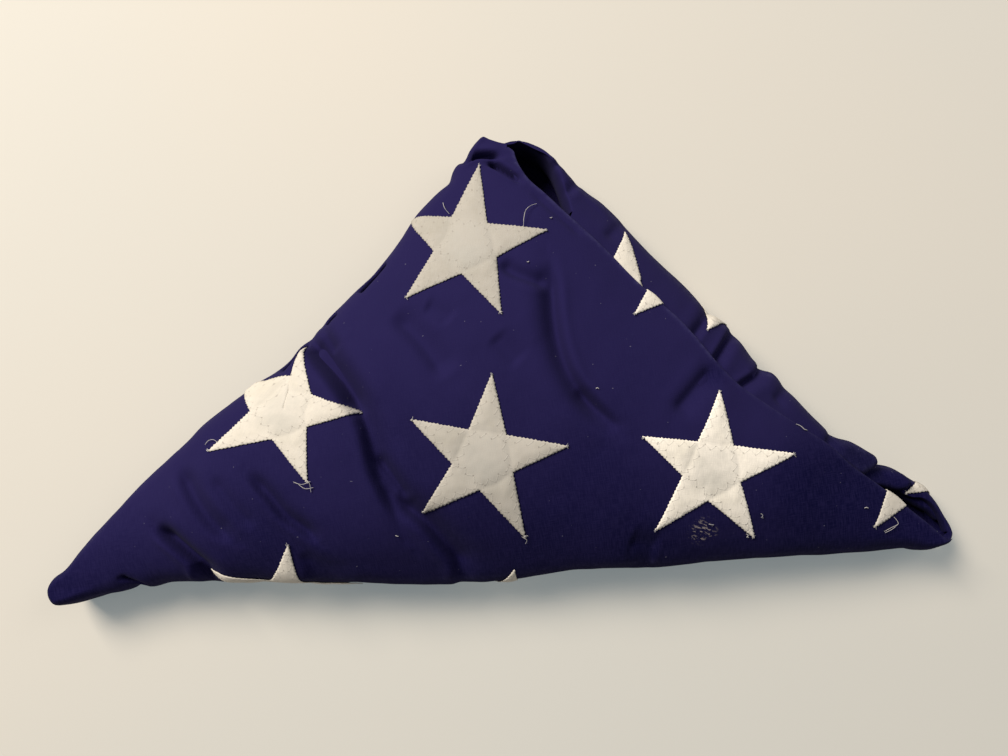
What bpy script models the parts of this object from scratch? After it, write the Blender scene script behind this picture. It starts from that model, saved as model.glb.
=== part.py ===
"""Folded cotton flag with sewn-on stars, lying on its back. Metres, +Z up.

The flag is folded twice along its length into a strip four plies thick. The strip is then rolled into a
triangle: each layer is a triangle, joined to the next at the long side and at the two legs in turn, so that
the first layer is the innermost and the last one lies outside. X runs along the long side, Y to the apex.
"""

import math

import bmesh
import bpy
import numpy as np
from mathutils import Vector, geometry

# Cloth
PLIES_THICK = 0.0016
LAYERS = 15
BACK_HEIGHT = PLIES_THICK / 2

# The outermost layers, in the order in which they are rolled, and the level of the front one.
INNER_WRAP = LAYERS - 4
LOWER_WRAP = LAYERS - 3
FRONT = LAYERS - 2
BACK = LAYERS - 1
TOP_LEVEL = LAYERS - 1

# The triangle round the folded flag, as seen from the front.
LEFT_CORNER = np.array((-0.281, -0.132))
RIGHT_CORNER = np.array((0.281, -0.124))
APEX = np.array((0.010, 0.146))

# Height of the front layer: over the middle, over the rims, and how fast one becomes the other.
CROWN_HEIGHT = 0.088
RIM_HEIGHT = 0.046
CROWN_REACH = 0.045
TIP_HEIGHT_SHARE = 0.80
TIP_REACH = 0.090
TROUGH_FADE = 1.6
ROOM_UNDER_FRONT = 0.0045
MORE_ROOM_INSIDE = 0.0085
HIDDEN_CROWN_INSET = 0.018

# How far the rolled folds stand out beyond the layers they join.
LONG_FOLD_BULGE = 0.017
LEG_FOLD_BULGE = 0.012
BULGE_AT_TIPS = 0.42
BULGE_REACH = 0.060
LEAST_BULGE = 0.0022
INSET_PER_TURN = 0.0018
FREE_EDGE_INSET = 0.004

# How far short of a corner a side stops: where it shows, and how much more where it is hidden.
SHOWN, MORE_HIDDEN = 0, 1
LEFT_TIP_CUT = (0.021, 0.026)
RIGHT_TIP_CUT = (0.025, 0.021)
APEX_CUT = (0.018, 0.0)
CUT_PER_TURN = 0.006

# Spacing of the facets. Points inside the hidden layers lie on rings, at set depths from the sides.
FINE_STEP = 0.020
FINE_MARGIN = 0.009
RING_DEPTHS = (0.033, 0.052, 0.082)
RING_STEP = 0.046
RING_MARGIN = 0.005
COARSE_ROUND = 4
FINE_ROUND = 8
COARSE_COUNT = {"long": 11, "right": 8, "left": 8}
FINE_COUNT = {"long": 24, "right": 17, "left": 17}

# Each side: the share of the way along it, anticlockwise, and how far the outer fold stands out there.
SHARE, OUT = 0, 1
LONG_SIDE = ((0.0, 0.0130), (0.04, 0.0100), (0.09, 0.0045), (0.13, 0.0012), (0.21, 0.0028), (0.28, 0.0032),
             (0.365, 0.0080), (0.44, 0.0100), (0.52, 0.0078), (0.60, 0.0055), (0.79, 0.0040), (0.97, 0.0038),
             (1.0, 0.0010))
RIGHT_LEG = ((0.0, 0.0020), (0.04, 0.0090), (0.08, 0.0130), (0.13, 0.0105), (0.17, 0.0040), (0.20, 0.0070),
             (0.25, 0.0000), (0.38, 0.0005), (0.43, -0.0010), (0.50, 0.0055), (0.55, 0.0035), (0.60, 0.0070),
             (0.76, 0.0115), (0.84, 0.0105), (0.90, 0.0140), (0.95, 0.0090), (1.0, 0.0020))
LEFT_LEG = ((0.0, 0.0080), (0.07, 0.0060), (0.13, 0.0010), (0.20, 0.0015), (0.26, -0.0035), (0.33, -0.0066),
            (0.46, -0.0050), (0.515, -0.0070), (0.585, -0.0020), (0.615, 0.0015), (0.71, 0.0040),
            (0.79, 0.0060), (0.87, 0.0055), (0.93, 0.0040), (1.0, 0.0010))
HIDDEN_SIDES = {
    "long": ((0.0, 0.0010), (1.0, 0.0010)),
    "right": ((0.0, 0.0010), (0.40, -0.0010), (1.0, 0.0010)),
    "left": ((0.0, 0.0010), (0.43, -0.0070), (1.0, 0.0010)),
}
FRONT_FREE_EDGE = ((0.0, -0.0110), (0.05, -0.0120), (0.20, -0.0130), (0.28, -0.0155), (0.38, -0.0220),
                   (0.43, -0.0245), (0.48, -0.0235), (0.53, -0.0210), (0.65, -0.0200), (0.88, -0.0185),
                   (0.94, -0.0150), (1.0, -0.0140))
SIDES = {
    # side: first corner, last corner, outline, bulge, how short of each corner the side stops
    "long": (LEFT_CORNER, RIGHT_CORNER, LONG_SIDE, LONG_FOLD_BULGE, LEFT_TIP_CUT, RIGHT_TIP_CUT),
    "right": (RIGHT_CORNER, APEX, RIGHT_LEG, LEG_FOLD_BULGE, RIGHT_TIP_CUT, APEX_CUT),
    "left": (APEX, LEFT_CORNER, LEFT_LEG, LEG_FOLD_BULGE, APEX_CUT, LEFT_TIP_CUT),
}

# Main troughs of the front layer: start, end, half width and depth.
TROUGHS = (
    # start x, start y, end x, end y, half width, depth
    (-0.106, 0.008, -0.092, -0.024, 0.009, 0.0050),
    (-0.092, -0.024, -0.076, -0.062, 0.009, 0.0060),
    (-0.076, -0.062, -0.058, -0.100, 0.010, 0.0050),
    (-0.060, -0.082, -0.022, -0.128, 0.010, 0.0060),
    (-0.062, 0.012, -0.036, -0.018, 0.010, 0.0025),
    (0.024, 0.048, 0.026, 0.004, 0.010, 0.0045),
    (0.026, 0.004, 0.052, -0.032, 0.010, 0.0040),
    (-0.182, -0.066, -0.150, -0.100, 0.010, 0.0030),
    (-0.154, -0.058, -0.112, -0.102, 0.009, 0.0040),
    (-0.200, -0.098, -0.174, -0.122, 0.009, 0.0050),
)

# Stars: outer radius, thickness, gap to the cloth, then one row each.
STAR_RADIUS = 0.04695
STAR_THICK = 0.0010
STAR_GAP = 0.0003
SHORTEST_STAR_EDGE = 0.0004
MOST_SHELL_FACTOR = 1.2
STARS = (
    # name, wrap that carries it, centre x, centre y, turn of its first tip in degrees
    ("star_apex", "front", -0.0120, 0.0625, 80.0),
    ("star_left", "front", -0.1230, -0.0330, 76.0),
    ("star_centre", "front", -0.0080, -0.0610, 80.0),
    ("star_right", "front", 0.1220, -0.0720, 81.5),
    ("star_bottom_left", "front", -0.1330, -0.1560, 81.0),
    ("star_bottom_tip", "front", 0.0000, -0.1770, 81.0),
    ("star_edge_upper", "front", 0.1170, 0.0510, 82.0),
    ("star_edge_lower", "front", 0.2520, -0.0770, 82.0),
    ("star_inner_upper", "inner", 0.0750, 0.0260, 81.0),
    ("star_inner_middle", "inner", 0.1700, 0.0350, 81.0),
    ("star_inner_lower", "inner", 0.2760, -0.0560, 85.0),
)
STAR_FLOOR = 0.024

NAVY = (0.0167, 0.0120, 0.0570, 1.0)
CREAM = (0.640, 0.580, 0.470, 1.0)


# ---------------------------------------------------------------- scene and materials


def clear_scene():
    for obj in list(bpy.data.objects):
        bpy.data.objects.remove(obj, do_unlink=True)


def new_collection(name):
    collection = bpy.data.collections.new(name)
    bpy.context.scene.collection.children.link(collection)
    return collection


def cotton(name, colour):
    """Matt woven cotton of one colour."""
    material = bpy.data.materials.new(name)
    material.use_nodes = True
    shader = material.node_tree.nodes["Principled BSDF"]
    shader.inputs["Base Color"].default_value = colour
    shader.inputs["Roughness"].default_value = 0.92
    shader.inputs["Metallic"].default_value = 0.0
    return material


# ---------------------------------------------------------------- outline of the layers


def out_at(table, share):
    """The table's second column at a share of the way along, with smooth passages between its rows."""
    shares = [row[SHARE] for row in table]
    i = int(np.clip(np.searchsorted(shares, share) - 1, 0, len(table) - 2))
    (start, low), (end, high) = table[i], table[i + 1]
    t = np.clip((share - start) / (end - start), 0.0, 1.0)
    return low + (high - low) * t * t * (3 - 2 * t)


def side_frame(side):
    """First corner, length, direction along and direction out of a side."""
    first, last = SIDES[side][:2]
    length = np.linalg.norm(last - first)
    along = (last - first) / length
    return first, length, along, np.array((along[1], -along[0]))


def bulge_at(side, share):
    """How far the outermost fold stands out beyond the layer: less near the triangle's corners."""
    _, length, _, _ = side_frame(side)
    nearest = min(share, 1.0 - share) * length
    rise = 1.0 - math.exp(-nearest / BULGE_REACH)
    return SIDES[side][3] * (BULGE_AT_TIPS + (1.0 - BULGE_AT_TIPS) * rise)


def side_ends(side, turns_outside, shows):
    """How far short of the side's first and last corners a layer's side stops."""
    inner_turns = max(turns_outside - 1, 0)
    ends = []
    for cut in SIDES[side][4:]:
        more = 0.0 if shows else cut[MORE_HIDDEN]
        ends.append(cut[SHOWN] + more + CUT_PER_TURN * inner_turns)
    return ends


def side_points(side, table, inset, ends, count, folded):
    """Points along one side of a layer. A folded side leaves room for its fold's bulge."""
    first, length, along, out = side_frame(side)
    start, end = ends
    points = []
    for share in np.linspace(start / length, 1.0 - end / length, count + 1):
        stand = out_at(table, share) - inset
        if folded:
            stand -= bulge_at(side, share)
        points.append(first + along * share * length + out * stand)
    return points


def layer_place(index):
    """(level from the back, turns that lie outside it) of a layer of the roll."""
    turn = index // 2
    middle = LAYERS // 2
    level = middle + 1 + turn if index % 2 else middle - turn
    return level, (LAYERS - 1) // 2 - turn - index % 2


def folded_sides(index):
    """The sides at which a layer joins its neighbours: {side: neighbour}."""
    turn = index // 2
    own_leg = "left" if turn % 2 == 0 else "right"
    last_leg = "right" if turn % 2 == 0 else "left"
    joined = {"long": index + 1, own_leg: None} if index % 2 == 0 else {"long": index - 1}
    if index % 2:
        joined[own_leg] = index + 1
    else:
        joined.pop(own_leg)
        joined[last_leg] = index - 1
    return {side: other for side, other in joined.items() if 0 <= other < LAYERS}


def is_outermost(index, other):
    """Whether a layer or the one it is folded to is one of the outermost three, which show."""
    return max(index, other if other is not None else index) >= LOWER_WRAP


def layer_outline(index):
    """{side: points} of one layer, anticlockwise."""
    _, turns_outside = layer_place(index)
    joined = folded_sides(index)
    outline = {}
    for side in SIDES:
        shows = is_outermost(index, joined.get(side))
        table = SIDES[side][2] if shows else HIDDEN_SIDES[side]
        folded = side in joined
        inset = INSET_PER_TURN * turns_outside
        if not folded:
            inset += FREE_EDGE_INSET + LEG_FOLD_BULGE
        if index == FRONT and side == "right":
            table = FRONT_FREE_EDGE
            inset = 0.0
        count = FINE_COUNT[side] if shows else COARSE_COUNT[side]
        ends = side_ends(side, turns_outside, shows)
        outline[side] = side_points(side, table, inset, ends, count, folded)
    return outline


# ---------------------------------------------------------------- height of the layers


def distance_to_piece(x, y, row):
    start, end = np.array(row[0:2]), np.array(row[2:4])
    span = end - start
    t = np.clip(np.dot((x, y) - start, span) / np.dot(span, span), 0.0, 1.0)
    return np.linalg.norm(start + span * t - (x, y))


def trough_depth(x, y):
    """Depth of the deepest trough at a point of the front layer."""
    depths = [row[5] * math.exp(-((distance_to_piece(x, y, row) / row[4]) ** 2)) for row in TROUGHS]
    return max(depths)


def crown_share(x, y, inset):
    """0 at an inset from the sides of the triangle, towards 1 in its middle."""
    share = 1.0
    for side in SIDES:
        first, _, _, out = side_frame(side)
        depth = max(np.dot(first - (x, y), out) - inset, 0.0)
        share *= 1.0 - math.exp(-depth / CROWN_REACH)
    return share


def top_height(x, y, crown):
    """Height of the front layer, without its troughs, at a point with this share of the crown."""
    rim = RIM_HEIGHT
    for corner in (LEFT_CORNER, RIGHT_CORNER):
        near = math.exp(-((np.linalg.norm(corner - (x, y)) / TIP_REACH) ** 2))
        rim *= 1.0 - (1.0 - TIP_HEIGHT_SHARE) * near
    return rim + (CROWN_HEIGHT - RIM_HEIGHT) * crown


def layer_height(index, x, y):
    """Height of a layer's middle surface. The lowest is flat, the others share the room above it."""
    level, _ = layer_place(index)
    shows = index >= INNER_WRAP
    crown = crown_share(x, y, 0.0 if shows else HIDDEN_CROWN_INSET)
    top = top_height(x, y, crown)
    if level == TOP_LEVEL:
        return top - trough_depth(x, y) * min(1.0, TROUGH_FADE * crown)
    below_front = top - ROOM_UNDER_FRONT - MORE_ROOM_INSIDE * crown
    return BACK_HEIGHT + (below_front - BACK_HEIGHT) * level / (TOP_LEVEL - 1)


# ---------------------------------------------------------------- the cloth


def lattice():
    """A fine triangular lattice of points over the whole triangle."""
    row_step = FINE_STEP * math.sqrt(3) / 2
    rows = int((APEX[1] - LEFT_CORNER[1]) / row_step) + 1
    columns = int((RIGHT_CORNER[0] - LEFT_CORNER[0]) / FINE_STEP) + 1
    return [
        np.array((LEFT_CORNER[0] + FINE_STEP * (column + 0.5 * (row % 2)), LEFT_CORNER[1] + row_step * row))
        for row in range(rows)
        for column in range(columns)
    ]


def meeting_point(side, other, depth):
    """Where two sides of the triangle meet after both have moved in by a depth."""
    first, _, _, out = side_frame(side)
    second, _, _, other_out = side_frame(other)
    normals = np.array((out, other_out))
    return np.linalg.solve(normals, (np.dot(first, out) - depth, np.dot(second, other_out) - depth))


def rings():
    """Points on triangles inside the outer one. All hidden layers share them, so their facets run parallel."""
    points = []
    for depth in RING_DEPTHS:
        corners = [meeting_point(*pair, depth) for pair in (("left", "long"), ("long", "right"), ("right", "left"))]
        for start, end in zip(corners, corners[1:] + corners[:1]):
            count = round(np.linalg.norm(end - start) / RING_STEP)
            points += [start + (end - start) * i / count for i in range(count)]
    return points


def well_inside(point, ring, margin):
    """Whether a point lies inside a ring by at least a margin."""
    crossings = 0
    for a, b in zip(ring, ring[1:] + ring[:1]):
        if distance_to_piece(point[0], point[1], (*a, *b)) < margin:
            return False
        if (a[1] > point[1]) != (b[1] > point[1]):
            crossings += point[0] < a[0] + (b[0] - a[0]) * (point[1] - a[1]) / (b[1] - a[1])
    return crossings % 2 == 1


def inner_points(index, ring):
    """Points inside a layer's outline: fine on the front, none on the flat back."""
    if index == FRONT:
        return [point for point in lattice() if well_inside(point, ring, FINE_MARGIN)]
    if index == BACK:
        return []
    return [point for point in rings() if well_inside(point, ring, RING_MARGIN)]


def add_layer(mesh, index):
    """Adds one triangular layer and returns the mesh's points along its sides."""
    outline = layer_outline(index)
    ring = [point for side in SIDES for point in outline[side]]
    inner = inner_points(index, ring)
    edges = [(i, (i + 1) % len(ring)) for i in range(len(ring))]
    places = [Vector(point) for point in ring + inner]
    points, _, faces, _, _, _ = geometry.delaunay_2d_cdt(places, edges, [], 1, 1e-7)
    verts = [mesh.verts.new((x, y, layer_height(index, x, y))) for x, y in points]
    for face in faces:
        mesh.faces.new([verts[i] for i in face])
    return {side: [(*point, layer_height(index, *point)) for point in outline[side]] for side in SIDES}


def top_slope(index, point, out):
    """Downward slope of a layer towards a direction, as an angle."""
    step = 0.001
    ahead = layer_height(index, *(point[:2] + out * step))
    fall = layer_height(index, *point[:2]) - ahead
    return math.atan2(max(fall, 0.0), step)


def fold_section(upper, lower, out, index, bulge, rounds):
    """Points round one fold: a part of an ellipse that leaves the upper layer at its slope."""
    drop = upper[2] - lower[2]
    slope = top_slope(index, upper, out)
    start = math.atan(math.tan(slope) * bulge / (drop / 2))
    half = drop / (1.0 + math.cos(start))
    centre_height = lower[2] + half
    section = []
    for i in range(rounds + 1):
        angle = start + (math.pi - start) * i / rounds
        wave = math.sin(angle) - math.sin(start) * (1.0 - i / rounds)
        stand = bulge * wave / (1.0 - 0.5 * math.sin(start))
        base = upper[:2] + (lower[:2] - upper[:2]) * i / rounds
        section.append((*(base + out * stand), centre_height + half * math.cos(angle)))
    section[0] = tuple(upper)
    section[-1] = tuple(lower)
    return section


def add_fold(mesh, side, upper_index, upper_row, lower_row, share_of_roll):
    """Adds the rounded fold that joins two layers along one side."""
    _, _, _, out = side_frame(side)
    rounds = FINE_ROUND if len(upper_row) > COARSE_COUNT[side] + 1 else COARSE_ROUND
    last = len(upper_row) - 1
    rows = []
    for i, (upper, lower) in enumerate(zip(upper_row, lower_row)):
        bulge = max(bulge_at(side, i / last) * share_of_roll, LEAST_BULGE)
        section = fold_section(np.array(upper), np.array(lower), out, upper_index, bulge, rounds)
        rows.append([mesh.verts.new(point) for point in section])
    for row, following in zip(rows, rows[1:]):
        for i in range(rounds):
            mesh.faces.new((row[i], row[i + 1], following[i + 1], following[i]))


def roll_surface(name, indices, folds):
    """The middle surface of some of the layers, with the folds whose upper layer is named."""
    mesh = bmesh.new()
    rows = {}
    for index in range(LAYERS):
        if index in indices:
            rows[index] = add_layer(mesh, index)
        elif any(index in (fold[0], fold[1]) for fold in folds):
            spare = bmesh.new()
            rows[index] = add_layer(spare, index)
            spare.free()
    for upper, lower, side in folds:
        share_of_roll = (layer_place(upper)[0] - layer_place(lower)[0]) / TOP_LEVEL
        add_fold(mesh, side, upper, rows[upper][side], rows[lower][side], share_of_roll)
    bmesh.ops.remove_doubles(mesh, verts=mesh.verts, dist=1e-6)
    bmesh.ops.triangulate(mesh, faces=mesh.faces)
    bmesh.ops.recalc_face_normals(mesh, faces=mesh.faces)
    highest = max(mesh.faces, key=lambda face: face.calc_center_median().z)
    if highest.normal.z < 0:
        bmesh.ops.reverse_faces(mesh, faces=mesh.faces)
    data = bpy.data.meshes.new(name)
    mesh.to_mesh(data)
    mesh.free()
    return data


def all_folds():
    """(upper layer, lower layer, side) of every fold of the roll."""
    folds = []
    for index in range(LAYERS):
        for side, other in folded_sides(index).items():
            if other > index:
                upper, lower = sorted((index, other), key=lambda i: -layer_place(i)[0])
                folds.append((upper, lower, side))
    return folds


def thicken(obj, thickness, offset):
    solidify = obj.modifiers.new("plies", "SOLIDIFY")
    solidify.thickness = thickness
    solidify.offset = offset
    solidify.use_even_offset = True
    solidify.use_quality_normals = True


def make_cloth(collection):
    cloth = bpy.data.objects.new("flag_cloth", roll_surface("flag_cloth", range(LAYERS), all_folds()))
    collection.objects.link(cloth)
    thicken(cloth, PLIES_THICK, 0.0)
    cloth.data.materials.append(cotton("navy_cotton", NAVY))
    return cloth


# ---------------------------------------------------------------- the stars


def star_lines(centre_x, centre_y, turn):
    """(point, inward direction) of the five straight lines that run from tip to tip of a star."""
    reach = STAR_RADIUS * math.cos(math.radians(72))
    lines = []
    for i in range(5):
        angle = math.radians(turn + 72.0 * i)
        outward = Vector((math.cos(angle), math.sin(angle), 0.0))
        lines.append((Vector((centre_x, centre_y, 0.0)) + outward * reach, -outward))
    return lines


def star_surface(name, wrap_data, lines):
    """The part of a wrap's middle surface inside a star, moved out to where the star's cloth lies."""
    mesh = bmesh.new()
    mesh.from_mesh(wrap_data)
    for point, inward in lines:
        geom = [*mesh.verts, *mesh.edges, *mesh.faces]
        bmesh.ops.bisect_plane(mesh, geom=geom, dist=1e-6, plane_co=point, plane_no=inward)
    outside = []
    for face in mesh.faces:
        centre = face.calc_center_median()
        # The five points of a star lie inside four of its lines, its middle inside all five.
        lines_kept = sum((centre - point).dot(inward) > 0 for point, inward in lines)
        if lines_kept < 4 or centre.z < STAR_FLOOR:
            outside.append(face)
    bmesh.ops.delete(mesh, geom=outside, context="FACES")
    bmesh.ops.dissolve_degenerate(mesh, edges=mesh.edges, dist=SHORTEST_STAR_EDGE)
    bmesh.ops.triangulate(mesh, faces=mesh.faces)
    mesh.normal_update()
    rise = PLIES_THICK / 2 + STAR_GAP
    moves = []
    for vert in mesh.verts:
        factor = min(vert.calc_shell_factor(), MOST_SHELL_FACTOR)
        moves.append((vert, vert.normal * factor * rise))
    for vert, move in moves:
        vert.co += move
    data = bpy.data.meshes.new(name)
    mesh.to_mesh(data)
    mesh.free()
    return data


def make_stars(collection):
    """Each star follows the facets of the wrap that carries it."""
    wraps = {
        "front": roll_surface("front_wrap", [FRONT], [(FRONT, LOWER_WRAP, "long"), (FRONT, BACK, "left")]),
        "inner": roll_surface("inner_wrap", [INNER_WRAP], [(INNER_WRAP, LOWER_WRAP, "right")]),
    }
    cream = cotton("cream_cotton", CREAM)
    for name, wrap, x, y, turn in STARS:
        star = bpy.data.objects.new(name, star_surface(name, wraps[wrap], star_lines(x, y, turn)))
        collection.objects.link(star)
        thicken(star, STAR_THICK, 1.0)
        star.data.materials.append(cream)


def main():
    clear_scene()
    flag = new_collection("folded_flag")
    make_cloth(flag)
    make_stars(flag)


main()
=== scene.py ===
"""The looks of a folded flag of worn navy cotton with sewn-on stars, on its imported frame. Metres, +Z up.

The cloth is a strip four plies thick, rolled into a triangle. Three sheets show it: the outer wrap (front,
long fold, left fold and back), the inner wrap that comes out past the front's free right edge, and the rest
of the roll inside. X runs along the long side, Y to the apex, and the flag lies on its back.
"""

import math
import random

import bmesh
import bpy
import numpy as np
from mathutils import Matrix, Vector, geometry, noise


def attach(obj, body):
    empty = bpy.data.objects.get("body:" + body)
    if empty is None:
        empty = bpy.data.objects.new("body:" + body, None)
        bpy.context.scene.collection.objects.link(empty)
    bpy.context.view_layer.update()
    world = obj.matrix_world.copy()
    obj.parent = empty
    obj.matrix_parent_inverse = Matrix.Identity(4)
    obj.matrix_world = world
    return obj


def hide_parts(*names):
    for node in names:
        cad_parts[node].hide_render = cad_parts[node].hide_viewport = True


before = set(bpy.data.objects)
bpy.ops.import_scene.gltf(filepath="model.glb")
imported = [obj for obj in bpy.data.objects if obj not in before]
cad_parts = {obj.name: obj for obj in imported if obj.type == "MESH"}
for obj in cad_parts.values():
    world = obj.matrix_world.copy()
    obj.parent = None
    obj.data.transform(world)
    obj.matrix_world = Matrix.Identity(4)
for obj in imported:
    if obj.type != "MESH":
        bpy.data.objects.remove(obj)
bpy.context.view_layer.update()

MM = 0.001

# The triangle round the folded flag, as in the model of its construction.
LEFT_CORNER = np.array((-0.281, -0.132))
RIGHT_CORNER = np.array((0.281, -0.124))
APEX = np.array((0.010, 0.146))

# Height of the front: what it would reach far from every rim, over the rims, and how fast one becomes the
# other. The rims' height has a share at the left and right tips, over a reach. Then the heights of the
# back layer and the one above.
CROWN_HEIGHT = 0.088
RIM_HEIGHT = 0.046
CROWN_REACH = 0.045
TIP_HEIGHT_SHARE = 0.80
TIP_REACH = 0.090
BACK_HEIGHT = 0.0009
STUB_HEIGHT = 0.0028

# Fineness of the meshes: steps, points round a fold, and the space between a panel's edge and its lattice as
# a share of its step. How close points are that get welded, or that belong to a fold past its end.
FRONT_STEP = 0.0014
RIM_STEP = 0.0017
ROUNDS = 36
PANEL_MARGIN = 0.55
WELD_REACH = 0.00002
BESIDE_REACH = 0.001
MESH_EPSILON = 1e-7
TINY = 1e-15

# Outer wrap: its rim as seen from the front, from the right of the apex over the left leg, the left tip and
# the long side to the right tip. Each row: x, y and how far the fold stands out there, in millimetres.
OUTER_RIM = (
    (12, 132, 2), (7, 133.8, 2.6), (1.5, 137, 3.5), (-3, 139.5, 4), (-7.5, 136.5, 5), (-13, 130, 6),
    (-19, 125, 7), (-22.5, 118.5, 8), (-24.5, 111.5, 8.5), (-30.5, 106.5, 9.5), (-46.5, 91.5, 10.5),
    (-56, 76, 11), (-66, 62.5, 11.5), (-80, 47, 12), (-101, 27.5, 12), (-118, 12.5, 12), (-132, -3, 12),
    (-146, -11, 12), (-158, -20, 12), (-178, -33.5, 11.5), (-197, -50.5, 11), (-220, -69.5, 10),
    (-242.5, -92, 8.5), (-259, -109, 7.5), (-270, -122, 7), (-276.5, -127.5, 6.5), (-278.5, -132.5, 6),
    (-277.5, -138, 6), (-273.5, -142.5, 6), (-266.5, -142.5, 6.5), (-256, -140, 7.5), (-244, -137, 9),
    (-232, -134.5, 10.5), (-225, -131, 11), (-217, -133, 12), (-205, -131, 13), (-176, -131.5, 15),
    (-145, -131, 16), (-107, -134, 17), (-76, -135.5, 17), (-35, -137, 17), (-4, -136.5, 17),
    (27, -133, 17), (67, -131, 17), (99, -131, 17), (131, -129, 16.5), (163, -128.5, 15.5),
    (195, -128.5, 14), (226, -127.2, 11.5), (240, -126.4, 10), (250, -126.6, 9), (258, -128, 8),
    (264, -128, 7), (269.5, -126.2, 5.5), (273.3, -123.7, 4), (274.6, -121.4, 3),
)

# The front's free right edge, from the right tip to the apex, in millimetres.
FREE_EDGE = (
    (271.2, -121.4), (267.4, -118.2), (261.4, -112.6), (255, -107.2), (246.6, -100.4), (238, -93.4),
    (228, -85.8), (211, -73.5), (197, -61), (176, -47.5), (157, -34.5), (142, -23.5), (130, -10), (118, 6),
    (110, 16), (100, 26), (84, 42), (71, 57), (57, 72), (43, 86.5), (33.5, 97), (24, 107), (19.2, 115.5),
    (17, 122), (16, 126.5), (12.5, 129.5),
)
# Its fold: radius, how much cloth is turned under and how far below, and how far from its ends that is full.
EDGE_ROUND = 0.0013
EDGE_RETURN = 0.011
EDGE_GAP = 0.0001
EDGE_RUNOUT = 0.045
EDGE_RUNOUT_START = 0.05
EDGE_POINTS = 9
RETURN_POINTS = 4
# Over how many points each way the outward directions of the edge and of the rims are evened out.
EDGE_SPREAD = 4
RIM_SPREAD = 5

# Main creases of the front: a path in millimetres, half width, depth, and the share of the
# width by which the left of the path is wider and its right narrower.
CREASES = (
    # under the apex star, down the middle
    (((4, 52), (12, 45.5), (22, 41), (33, 37)), 4, 3.2, 0.25),
    (((34, 54), (34.5, 36), (35, 18), (37, 2), (40.5, -11), (47, -24), (56, -35.5), (68, -46)), 4.6, 5, -0.35),
    (((46, -22), (53, -31), (61, -40), (70, -49)), 4.4, 2.2, -0.30),
    (((-1, 8), (8, -2), (15, -9)), 6, 1.6, 0.2),
    # the long folds left of the middle
    (((-103, 19), (-98, 11), (-93, 3)), 3.6, 2.6, 0.30),
    (((-118, 26), (-108, 10), (-97, -3.5), (-88, -15), (-80, -28), (-75, -40), (-72, -53), (-69, -67),
      (-63, -82), (-57, -97), (-54, -106)), 6, 6.2, 0.45),
    (((-116, 16), (-103, -1), (-93, -13), (-85, -25), (-79, -38)), 5.8, 6.6, 0.30),
    (((-71, -57), (-63, -67), (-57, -76), (-52, -84)), 3.4, 3, 0.35),
    (((-61, -79), (-53, -88), (-44, -96), (-34, -109), (-25.5, -121), (-19, -130)), 5.6, 6.4, 0.40),
    (((-60, 24), (-48, 14), (-37, 0), (-27, -16)), 7, 3.4, 0.30),
    (((-40, 28), (-31, 23), (-24, 17)), 5, 1.6, 0.20),
    # the lower left
    (((-190, -60), (-183.5, -72), (-176.5, -83.5), (-167, -95.5), (-154, -105)), 5, 3.8, 0.35),
    (((-146, -64), (-139, -72), (-132, -80), (-123, -91.5), (-114, -98.5), (-104, -108)), 3.6, 3.8, 0.35),
    (((-168, -66), (-160, -77), (-150, -89), (-141, -98)), 4, 1.8, 0.25),
    (((-205, -95), (-195, -103), (-187, -110.5), (-179.5, -118), (-172, -126), (-166, -132)), 3.8, 7.4, 0.35),
    (((-119, -113), (-114, -118), (-104, -123), (-88, -130)), 4.5, 2.2, 0.35),
    (((74, -113), (83, -116), (92, -119)), 6, 2.4, 0.25),
    # below the free edge's dip
    (((129, -13), (122, -19), (113, -28), (101, -41)), 5.5, 2.8, 0.25),
    # round the apex
    (((-18, 120.5), (-9, 124.3), (-1, 124.2), (8, 122)), 1.8, 7, 0.25),
    (((-1.5, 119.5), (5, 115.5), (12, 110), (19, 104.5)), 1.8, 6.2, 0.25),
    (((24, 99), (33, 89.5), (44, 78.5), (56, 66.5)), 2.6, 1.2, 0.20),
)
# Gaps between the layers that show in the outer fold: path, half width and depth in millimetres.
GAPS = (
    (((-79.5, 42.5), (-76, 46.5), (-71, 52), (-66.5, 57.5)), 1.6, 16),
    (((-100.5, 23.3), (-96.5, 27.3)), 1.3, 12),
    (((-128, -4), (-122, 3), (-116, 9.6)), 1.4, 12),
    (((-229, -126), (-224, -128.8), (-218.5, -131.5)), 1.3, 5),
)
# How far a gap goes inward, as a share of its depth, and the step along its path.
GAP_LEAN = 0.2
GAP_STEP = 0.003
# All creases are this much deeper than their rows say. Each runs out at its ends, over a share of its path,
# to a share of its depth. A low swell lies beside it: its share of the depth, and its place in half widths.
CREASE_DEPTH = 1.4
CREASE_STEP = 0.004
CREASE_END = 0.22
CREASE_END_DEPTH = 0.12
SWELL_SHARE = 0.12
SWELL_PLACE = 2.3
# The front's soft rise beside its free edge, where the cloth is turned under: height and width.
EDGE_LIP = (0.0007, 0.0030)
# Soft unevenness: seeds, and (scale, height) of each noise.
FRONT_SEED = 3.7
FRONT_WAVES = ((0.075, 0.0022), (0.030, 0.0009), (0.011, 0.00022))
BAND_WAVES = ((0.050, 0.0011), (0.022, 0.0007), (0.009, 0.0002))
INNER_SEED = 23.1
END_SEED = 31.0

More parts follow.
